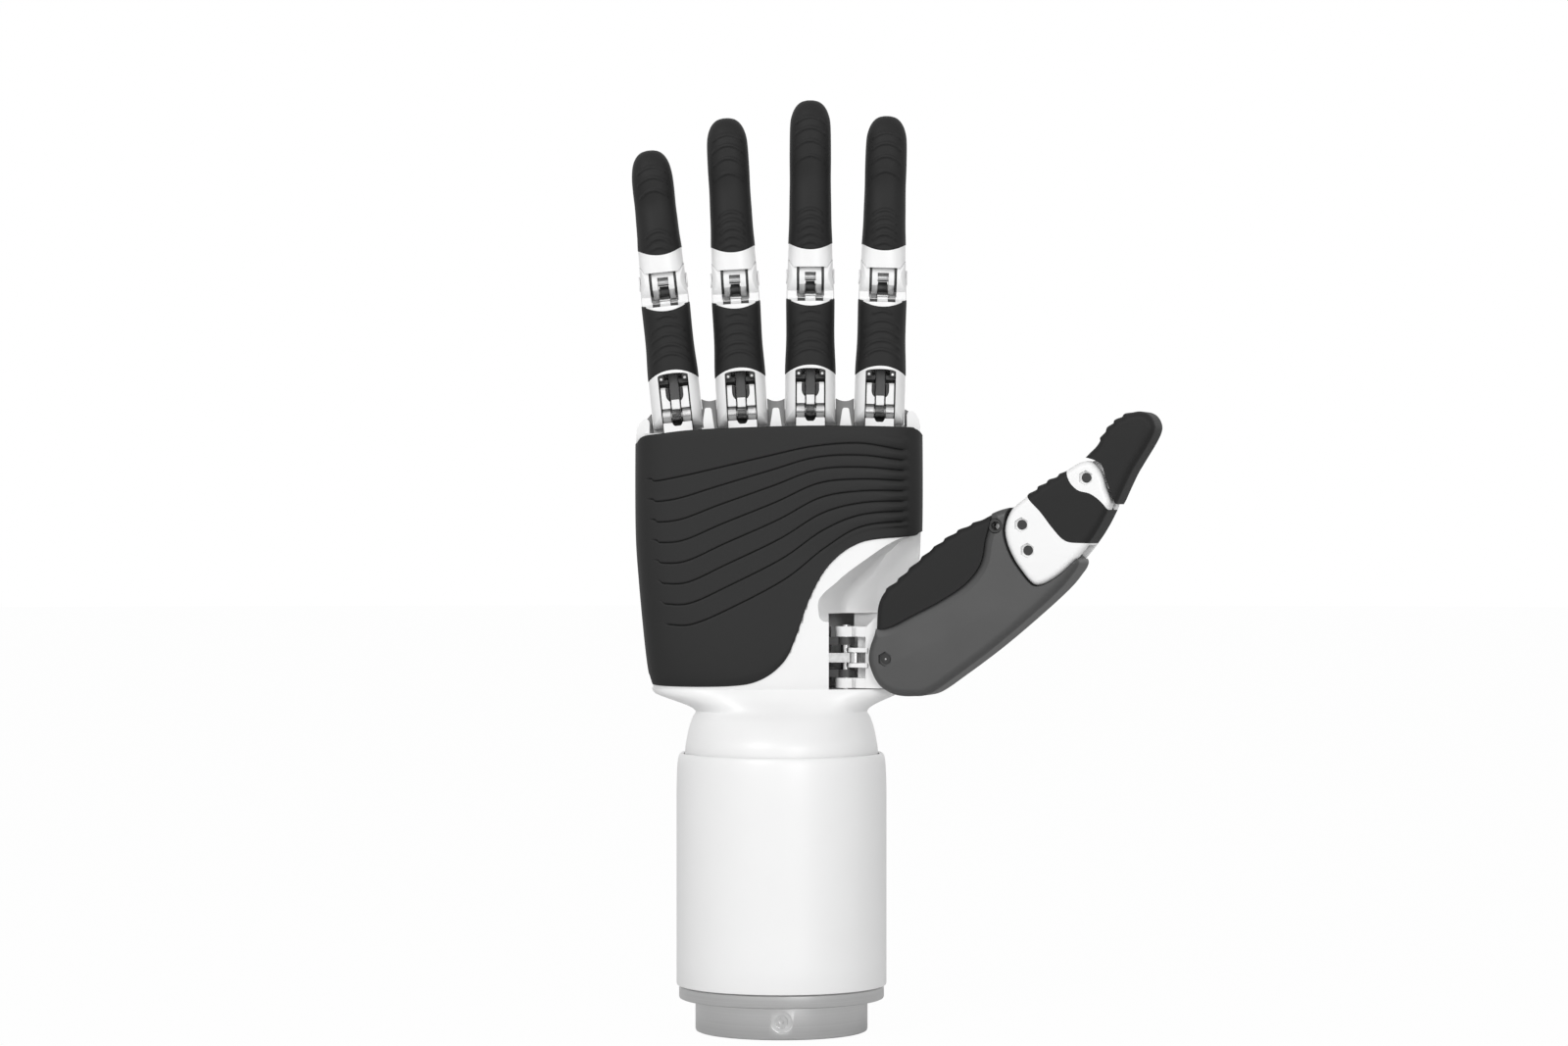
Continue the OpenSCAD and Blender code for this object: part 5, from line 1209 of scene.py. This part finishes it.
def pillow(outline, half, radius, teeth=None, layers=10, steps=5):
    """A flat body from its side outline, with round edges. teeth gives the grip scales' height at a point."""
    shape = bmesh.new()
    turns = [math.pi / 2 * k / (layers - 1) for k in range(layers)]
    sides = [(-(half - radius + radius * math.cos(a)), radius * (1 - math.sin(a))) for a in turns]
    mids = [(-(half - radius) + 2 * (half - radius) * k / 6, 0.0) for k in range(1, 6)]
    sides += mids + [(-y, inset) for y, inset in reversed(sides)]
    rings = []
    for y, inset in sides:
        curve = ring_through(drawn_in(outline, inset), steps)
        if teeth:
            share = 1 - min(1.0, inset / radius)
            curve = [
                (p[0] + n[0] * teeth(p) * share, p[1] + n[1] * teeth(p) * share) for p,
                    n in zip(curve, normals(curve))
            ]
        rings.append([shape.verts.new((u, y, v)) for u, v in curve])
    count = len(rings[0])
    for here, beyond in zip(rings, rings[1:]):
        for k in range(count):
            m = (k + 1) % count
            shape.faces.new((here[k], beyond[k], beyond[m], here[m]))
    shape.faces.new(rings[0])
    shape.faces.new(list(reversed(rings[-1])))
    bmesh.ops.recalc_face_normals(shape, faces=shape.faces)
    return shape


def scales(first, last, pitch, high):
    """Overlapping grip scales along the rim from one point towards another."""
    start = Vector(first)
    run = Vector(last) - start
    count = round(run.length / pitch)

    def teeth(point):
        off = Vector(point[:2]) - start
        along = off.dot(run) / run.length_squared * count
        away = abs(off.x * run.y - off.y * run.x) / run.length
        if along < 0 or along > count or away > 4.5:
            return 0.0
        part = along % 1.0
        return high * ease(part / 0.14) * (1 - ease((part - 0.14) / 0.86))

    return teeth


def slab(outline, half):
    """An outline in the thumb's plane given a thickness across it."""
    return plate(outline, "Y", -half, half)


def disc(centre, radius, half, sides=64):
    return rod((centre[0], -half, centre[1]), (centre[0], half, centre[1]), radius, sides)


def hexagon_sockets(at, half):
    """Tools for the hexagon sockets at both ends of a pin, points up and down."""
    points = [(at[0] + SOCKET_R * math.sin(math.pi * k / 3),
        at[1] + SOCKET_R * math.cos(math.pi * k / 3)) for k in range(6)]
    return [("DIFFERENCE", plate(points, "Y", *sorted((s * (half - SOCKET_T), s * (half + 2))))) for s in (-1,
        1)]


HOUSING = ring_through(moved([
    (-5.2, 0), (-4.3, -3.5), (-2, -7.4), (2.6, -9.9), (8, -10.2), (12.6, -9.4), (19, -5.2), (29.7, 2.6),
    (39.7, 10.8), (48.5, 18.6), (52.8, 23.4), (54.6, 27.4), (50, 31.4), (44.4, 35.4), (42, 40.4),
    (37.6, 42), (32, 41), (26.6, 38.4), (19.8, 35.2), (12, 29.8), (3.4, 22.2), (-1, 18.4), (-2.8, 14),
    (-3.2, 8), (-4.6, 3.8)], P0), 2)
RIDGE = line_through(moved([
    (-6, 8.2), (0.6, 8.7), (7.6, 12), (16, 16.3), (23, 21), (27.2, 26.4), (28.6, 33), (30, 38.4), (30.6, 44)],
        P0), 8)
PHALANX = ring_through(moved([
    (-4.8, 0), (-4.6, -4), (-2.8, -8.6), (0, -12.8), (3.6, -16.4), (8, -15.2), (12.6, -11.8), (16.2, -8),
    (18.9, -4.6), (21.2, -1.2), (23.6, 3.2), (24.6, 6.4), (23.4, 10), (22.2, 14), (19.4, 17.2), (15.6, 16.7),
    (11, 13.8), (6.2, 11.2), (2, 8.2), (-2.8, 4.4)], P1), 2)
PHALANX_HW, TIP_HW = 7.2, 6.4


def turned(points, centre, degrees):
    c, s = math.cos(math.radians(degrees)), math.sin(math.radians(degrees))
    return [
        (centre[0] + (u - centre[0]) * c - (v - centre[1]) * s,
            centre[1] + (u - centre[0]) * s + (v - centre[1]) * c)
        for u, v in points
    ]


def chamfer_tool(curve, wide, deep, half, side):
    """Slanted cut beside a ridge line, deepest at the line."""
    shape = bmesh.new()
    profile = [(-0.6, half - deep), (0, half - deep), (wide, half + 0.01), (wide, half + 3), (-0.6, half + 3)]
    rings = [
        [shape.verts.new((p[0] + n[0] * a, side * b, p[1] + n[1] * a)) for a, b in profile]
        for p, n in zip(curve, normals(curve, closed=False))
    ]
    for here, beyond in zip(rings, rings[1:]):
        for k in range(5):
            m = (k + 1) % 5
            shape.faces.new((here[k], beyond[k], beyond[m], here[m]))
    shape.faces.new(rings[0])
    shape.faces.new(list(reversed(rings[-1])))
    bmesh.ops.recalc_face_normals(shape, faces=shape.faces)
    return shape


soft_side = RIDGE + [(P0[0] - 14, P0[1] + 50), (P0[0] - 14, P0[1] + 8)]
A0 = (P0[0] - 2.2, P0[1] + 8.7)
hollow = machined(
    disc(P0, 11, CHEEK_GAP, 96),
    ("UNION", slab(moved([(-9, -5), (7, -5), (12, 4), (8, 14), (-9, 14)], P0), CHEEK_GAP - 0.01)),
    ("UNION", slab([(A0[0] - 3, A0[1] - 3), (A0[0] + 6, A0[1] - 4), (B1[0] + 2, B1[1] - 5),
        (B1[0] + 8, B1[1] - 5),
                    (B1[0] + 8, B1[1] + 6), (A0[0] - 3, A0[1] + 4)], LINK_W / 2 + SIDE_GAP)),
    ("UNION", disc(B1, 5, LINK_W / 2 + SIDE_GAP + 0.01)),
    ("UNION", slab([(H1[0] - 3, H1[1] - 2.6), (H1[0] + 3, H1[1] - 2.4), (P1[0] + 10, P1[1] + 1.6),
        (P1[0] + 20, P1[1] + 12),
                    (P1[0] + 14, P1[1] + 26), (H1[0] - 3, H1[1] + 6)], LINK_W / 2 + SIDE_GAP - 0.01)),
)
swing_edge = drawn_in(ring_through(PHALANX, 4), -0.35)
swept = [slab(swing_edge, 10), slab(turned(swing_edge, P1, 17), 10.01)]
cheeks = machined(swept[0], ("UNION", swept[1]),
    ("DIFFERENCE", cell((-60, -CHEEK_GAP, 0), (200, CHEEK_GAP, 300))))
housing = machined(
    pillow(HOUSING, HOUSING_HW, 2.2),
    ("DIFFERENCE", slab(soft_side, 20)),
    ("UNION", slab(drawn_in(HOUSING, 1.6), HOUSING_HW - 1.7)),
    ("DIFFERENCE", hollow),
    ("DIFFERENCE", cheeks),
    ("DIFFERENCE", chamfer_tool(RIDGE, 2.3, 0.95, HOUSING_HW, 1)),
    ("DIFFERENCE", chamfer_tool(RIDGE, 2.3, 0.95, HOUSING_HW, -1)),
    ("DIFFERENCE", disc(P1, THUMB_PIN_R + 0.04, 40)),
    ("DIFFERENCE", disc(H1, 2.1, 40, 48)),
    *hexagon_sockets(P0, HOUSING_HW),
)
anodised = Finish("dark grey anodised", Metallic=0.35)
bloom = anodised.noise(70.0, 4.0)
blast = anodised.noise(4200.0, 2.0)
anodised.shade(grey(0.062), grey(0.08), bloom)
anodised.feed("Roughness", 0.4 + blast * 0.12)
anodised.bump(0.12, 0.00003, blast)
fitted("thumb_base_housing", housing, anodised, "housing_grey", "thumb_base_body", "thumb_housing", edge=0.2,
    sharp=17,
       place=at_thumb)
bush = machined(disc(H1, 2.05, HOUSING_HW - 0.5, 48),
    ("DIFFERENCE", cell((-60, -CHEEK_GAP, 0), (200, CHEEK_GAP, 300))),
                ("DIFFERENCE", disc(H1, 1.1, 40, 32)))
fitted("thumb_link_bush", bush, black_nylon_and_painted_shade, "housing_grey", "thumb_base_body", edge=0.2, place=at_thumb)

# ---------------------------------------------------------------- thumb pads
# Black silicone on the gripping side of each thumb segment, its rim notched into overlapping scales. Each pad
# is
# moulded over its segment's core, and its edges are rolled where it meets the hard shell.

housing_pad = machined(
    pillow(drawn_in(HOUSING, 0.3), HOUSING_HW, 2.2,
        scales((P0[0] - 0.3, P0[1] + 18.7), (P0[0] + 27.7, P0[1] + 39.2), 4.3, 0.45)),
    ("INTERSECT", slab(soft_side, 20)),
    ("DIFFERENCE", slab(drawn_in(HOUSING, 1.65), HOUSING_HW - 1.75)),
    ("DIFFERENCE", disc(P0, 13, CHEEK_GAP)),
)
fitted("thumb_base_skin", housing_pad, rubber, "soft_pad", "thumb_base_body", "thumb_housing_pad", edge=0.45,
    sharp=40,
       place=at_thumb)

sleeve_left = line_through(moved([(0, 12), (1.6, 7.6), (5.4, 3.4), (9, -1.2), (12.4, -4.4), (17.4, -5),
    (26, -5)], P1), 8)
sleeve_right = line_through(
    moved([(32, -2), (26, 1.8), (22.6, 6), (19.4, 8.4), (15.6, 9.6), (13, 13), (12, 20)], P1), 8
)
middle_pad = machined(
    pillow(PHALANX, PHALANX_HW, 2.0,
        scales((P1[0] + 1.0, P1[1] + 8.2), (P1[0] + 12.6, P1[1] + 15.2), 3.4, 0.5)),
    ("INTERSECT", slab(sleeve_left + sleeve_right, 20)),
    ("DIFFERENCE", slab(drawn_in(PHALANX, 1.3), PHALANX_HW - 1.25)),
)
fitted("thumb_middle_skin", middle_pad, rubber, "soft_pad", "thumb_phalanx_body", "thumb_phalanx_pad",
    edge=0.4, sharp=40,
       place=at_thumb)

TIP = ring_through(moved([
    (-2, -8), (4, -10.6), (7.6, -7.6), (9.4, -4.2), (12, 1.2), (15.2, 6.4), (17.8, 10.8), (18.7, 14),
    (17.2, 17), (14, 18), (9.6, 16.6), (5.6, 13.4), (2.4, 8.6), (-2, 4), (-4, -2)], P2), 2)
tip_zone = line_through(
    moved([(-3, 5.6), (0.6, 5.3), (4.1, 3.6), (5.5, -0.6), (6.8, -4), (8, -7.4), (10, -10)], P2), 8
) + moved([(30, -9), (30, 30), (-3, 30)], P2)
tip_pad = machined(
    pillow(TIP, TIP_HW, 2.2, scales((P2[0] + 3.4, P2[1] + 10.2), (P2[0] + 12.6, P2[1] + 18.0), 3.0, 0.5)),
    ("INTERSECT", slab(tip_zone, 20)),
    ("DIFFERENCE", disc(P2, 4.95, 20)),
    ("DIFFERENCE", disc(P2, 9.4, CHEEK_GAP)),
)
fitted("thumb_tip_skin", tip_pad, rubber, "soft_pad", "thumb_tip_body", "thumb_tip_pad", edge=0.45, sharp=40,
    place=at_thumb)

# ---------------------------------------------------------------- thumb middle segment
# White D-shaped segment: two cheeks clamp the housing's tongue, a band reaches past the soft sleeve to the
# last joint.
# Hexagon sockets on both faces hold the pins of the joint, the coupler and the tip.

middle_shell = machined(
    pillow(PHALANX, PHALANX_HW, 1.8),
    ("DIFFERENCE", slab(sleeve_left + sleeve_right, 20)),
    ("UNION", slab(drawn_in(PHALANX, 1.6), PHALANX_HW - 1.3)),
    ("DIFFERENCE", disc(P1, 19, CHEEK_GAP + SIDE_GAP, 128)),
    ("DIFFERENCE", slab(moved([(-8, -20), (8, -20), (8, 6), (-8, 8)], P1), CHEEK_GAP + SIDE_GAP - 0.01)),
    ("DIFFERENCE",
        slab([(P1[0] + 4, P1[1] - 5), (P2[0] + 8, P2[1] - 8), (P2[0] + 3, P2[1] + 6), (P1[0] + 4, P1[1] + 6)],
                        LINK_W / 2 + SIDE_GAP)),
    ("DIFFERENCE", disc(P2, 6.8, CHEEK_GAP + 0.01)),
    *hexagon_sockets(P1, PHALANX_HW), *hexagon_sockets(B1, PHALANX_HW), *hexagon_sockets(P2, PHALANX_HW),
)
fitted("thumb_middle_shell", middle_shell, white, "white_shell", "thumb_phalanx_body", "thumb_phalanx",
    edge=0.18,
       sharp=32, place=at_thumb)
for name, at, half, body in (
    ("foot", P0, HOUSING_HW, "thumb_base_body"), ("joint", P1, PHALANX_HW, "thumb_phalanx_body"),
    ("link", B1, PHALANX_HW, "thumb_phalanx_body"), ("last", P2, PHALANX_HW, "thumb_phalanx_body"),
):
    for side, word in ((-1, "palm"), (1, "back")):
        floor_at = side * (half - SOCKET_T)
        # A black disc on each socket's floor stands in for the bore of the pin's end: painted shade for the
        # hole
        painted_bore_shade = rod((at[0], floor_at, at[1]), (at[0], floor_at + side * 0.15, at[1]), 1.36, 48)
        point = rod((at[0], floor_at + side * 0.1, at[1]), (at[0], floor_at + side * 0.3, at[1]), 0.28, 24)
        fitted(f"thumb_{name}_plug_{word}", painted_bore_shade, black_nylon_and_painted_shade, "steel", body, edge=0.05, place=at_thumb)
        if at == P0:
            fitted(f"thumb_{name}_point_{word}", point, ground, "steel", body, edge=0.05, place=at_thumb)

# ---------------------------------------------------------------- thumb carriage
# White moulded bracket that turns the whole thumb on its upright shaft: two round-ended arms, the lever's
# twin plates
# and the cheek that carries the base joint. A web behind the arms stiffens it.

cheek = machined(
    plate(arc(P0, 4.4, 0, 360, 64)[:-1], "Y", -CHEEK_GAP + SIDE_GAP, CHEEK_GAP - SIDE_GAP),
    ("UNION", slab([(6.8, PALM_Z + 0.3), (P0[0] + 1, PALM_Z + 0.3), (P0[0] + 4.2, P0[1] - 1.5),
        (P0[0] + 1.2, P0[1] + 8.2),
                    (A0[0], A0[1] + 3.2), (A0[0] - 2.6, A0[1] + 1.8), (6.8, PALM_Z + 17.2)],
                        CHEEK_GAP - SIDE_GAP - 0.01)),
    ("UNION", disc(A0, 3.2, CHEEK_GAP - SIDE_GAP - 0.005)),
    ("UNION", disc((P0[0] + 4.6, P0[1] - 3.2), 2.1, CHEEK_GAP - SIDE_GAP - 0.005)),
    ("UNION", cell((3.3, 0.9, PALM_Z + 0.3), (7.2, CHEEK_GAP - SIDE_GAP - 0.02, PALM_Z + 17.3))),
)
lever_turn = math.radians(-90 + 37.5 + YAW_REST)
lever_pin = (4 * math.cos(lever_turn), 4 * math.sin(lever_turn))
carriage = []
for low in (PALM_Z + 0.3, PALM_Z + 14.6):
    carriage += [
        ("UNION", rod((0, 0, low), (0, 0, low + 2.8), 2.9, 64)),
        ("UNION", cell((0, -2.9, low + 0.01), (8, 2.9, low + 2.79))),
    ]
for low in (LEVER_Z - 2.7, LEVER_Z + 1.5):
    carriage += [
        ("UNION", rod((*lever_pin, low), (*lever_pin, low + 1.2), 1.8, 48)),
        ("UNION", cell((lever_pin[0], lever_pin[1] - 1.8, low + 0.01),
            (lever_pin[0] + 4.2, lever_pin[1] + 1.8, low + 1.19))),
    ]
carriage += [
    ("DIFFERENCE", rod((0, 0, PALM_Z - 5), (0, 0, PALM_Z + 35), 1.34, 48)),
    ("DIFFERENCE", rod((*lever_pin, PALM_Z), (*lever_pin, PALM_Z + 20), SMALL_PIN_R, 32)),
    ("DIFFERENCE", disc(P0, THUMB_PIN_R + 0.04, 10)),
    ("DIFFERENCE", disc(A0, SMALL_PIN_R, 10)),
    ("DIFFERENCE", disc((P0[0] + 4.6, P0[1] - 3.2), SMALL_PIN_R, 10)),
    ("DIFFERENCE",
        cell((A0[0] - 6, -LINK_W / 2 - SIDE_GAP, A0[1] - 4.5),
        (A0[0] + 6, LINK_W / 2 + SIDE_GAP, A0[1] + 4.5))),
    ("DIFFERENCE",
        cell((P0[0] + 1.6, -LINK_W / 2 - SIDE_GAP, P0[1] - 6.6),
        (P0[0] + 10.6, LINK_W / 2 + SIDE_GAP, P0[1] - 0.6))),
]
fitted("thumb_carriage", machined(cheek, *carriage), white, "white_shell",
       "thumb_yoke_body", "thumb_yoke", edge=0.22, sharp=32, place=at_thumb)
# ---------------------------------------------------------------- actuators and shaft bracket
# Bought-in linear actuators in dark anodised cans, and the nylon bracket that carries the thumb's upright
# shaft. They
# are screwed inside the palm and the thumb housing, and show through the openings only.


def finished(finish, *names):
    for name in names:
        surface = nodes[name].data.materials
        surface.clear()
        surface.append(finish.material)


finished(anodised, "finger_actuators", "yaw_actuator", "thumb_bend_actuator")
finished(grey_nylon, "thumb_bracket")

# ---------------------------------------------------------------- pins, rods and screws
# Ground steel pins and drive rods, pressed in or held by their heads, and the screws of the shells and the
# wrist
# clamp. The thumb's two links are plates of the same steel.

finished(
    ground, "clamp_screw", "shell_screws", "knuckle_pins", "thumb_shaft", "thumb_yoke_pins", "thumb_yaw_rod",
    "thumb_base_pins", "thumb_bend_rod", "thumb_coupler", "thumb_tip_coupler", "thumb_phalanx_pins",
)
for finger in FINGERS:
    finished(ground, finger + "_pins", finger + "_drive_rod")
    # White caps over the heads of the middle joint's pin
    for side, word in ((-1, "left"), (1, "right")):
        cap = rod((side * EAR_HW, 0, PROXIMAL_LEN), (side * (EAR_HW + 0.42), 0, PROXIMAL_LEN), PIN_R + 0.98,
            48)
        fitted(f"{finger}_joint_cap_{word}", cap, white, "white_shell", finger + "_proximal_body", edge=0.15,
               place=at_finger(finger))

# ---------------------------------------------------------------- thumb tip core
# White moulded core under the thumb's last pad, with the tongue that turns in the middle segment's fork.

finished(white, "thumb_tip")

# ---------------------------------------------------------------- control board
# Glass-fibre circuit board behind the palm's front shell, with green solder mask over copper tracks and black
# chips.

masked = Finish("green circuit board")
tracks = masked.node("ShaderNodeTexBrick", None, {
    "Vector": masked.place(), "Color1": (1, 1, 1, 1), "Color2": (1, 1, 1, 1), "Mortar": (0, 0, 0, 1),
        "Scale": 420.0,
    "Mortar Size": 0.06, "Mortar Smooth": 0.4})[1]
masked.shade((0.004, 0.05, 0.022, 1), (0.01, 0.085, 0.04, 1), tracks)
masked.feed("Roughness", 0.28 + tracks * 0.14)
masked.bump(0.2, 0.00004, tracks)
finished(masked, "control_board")
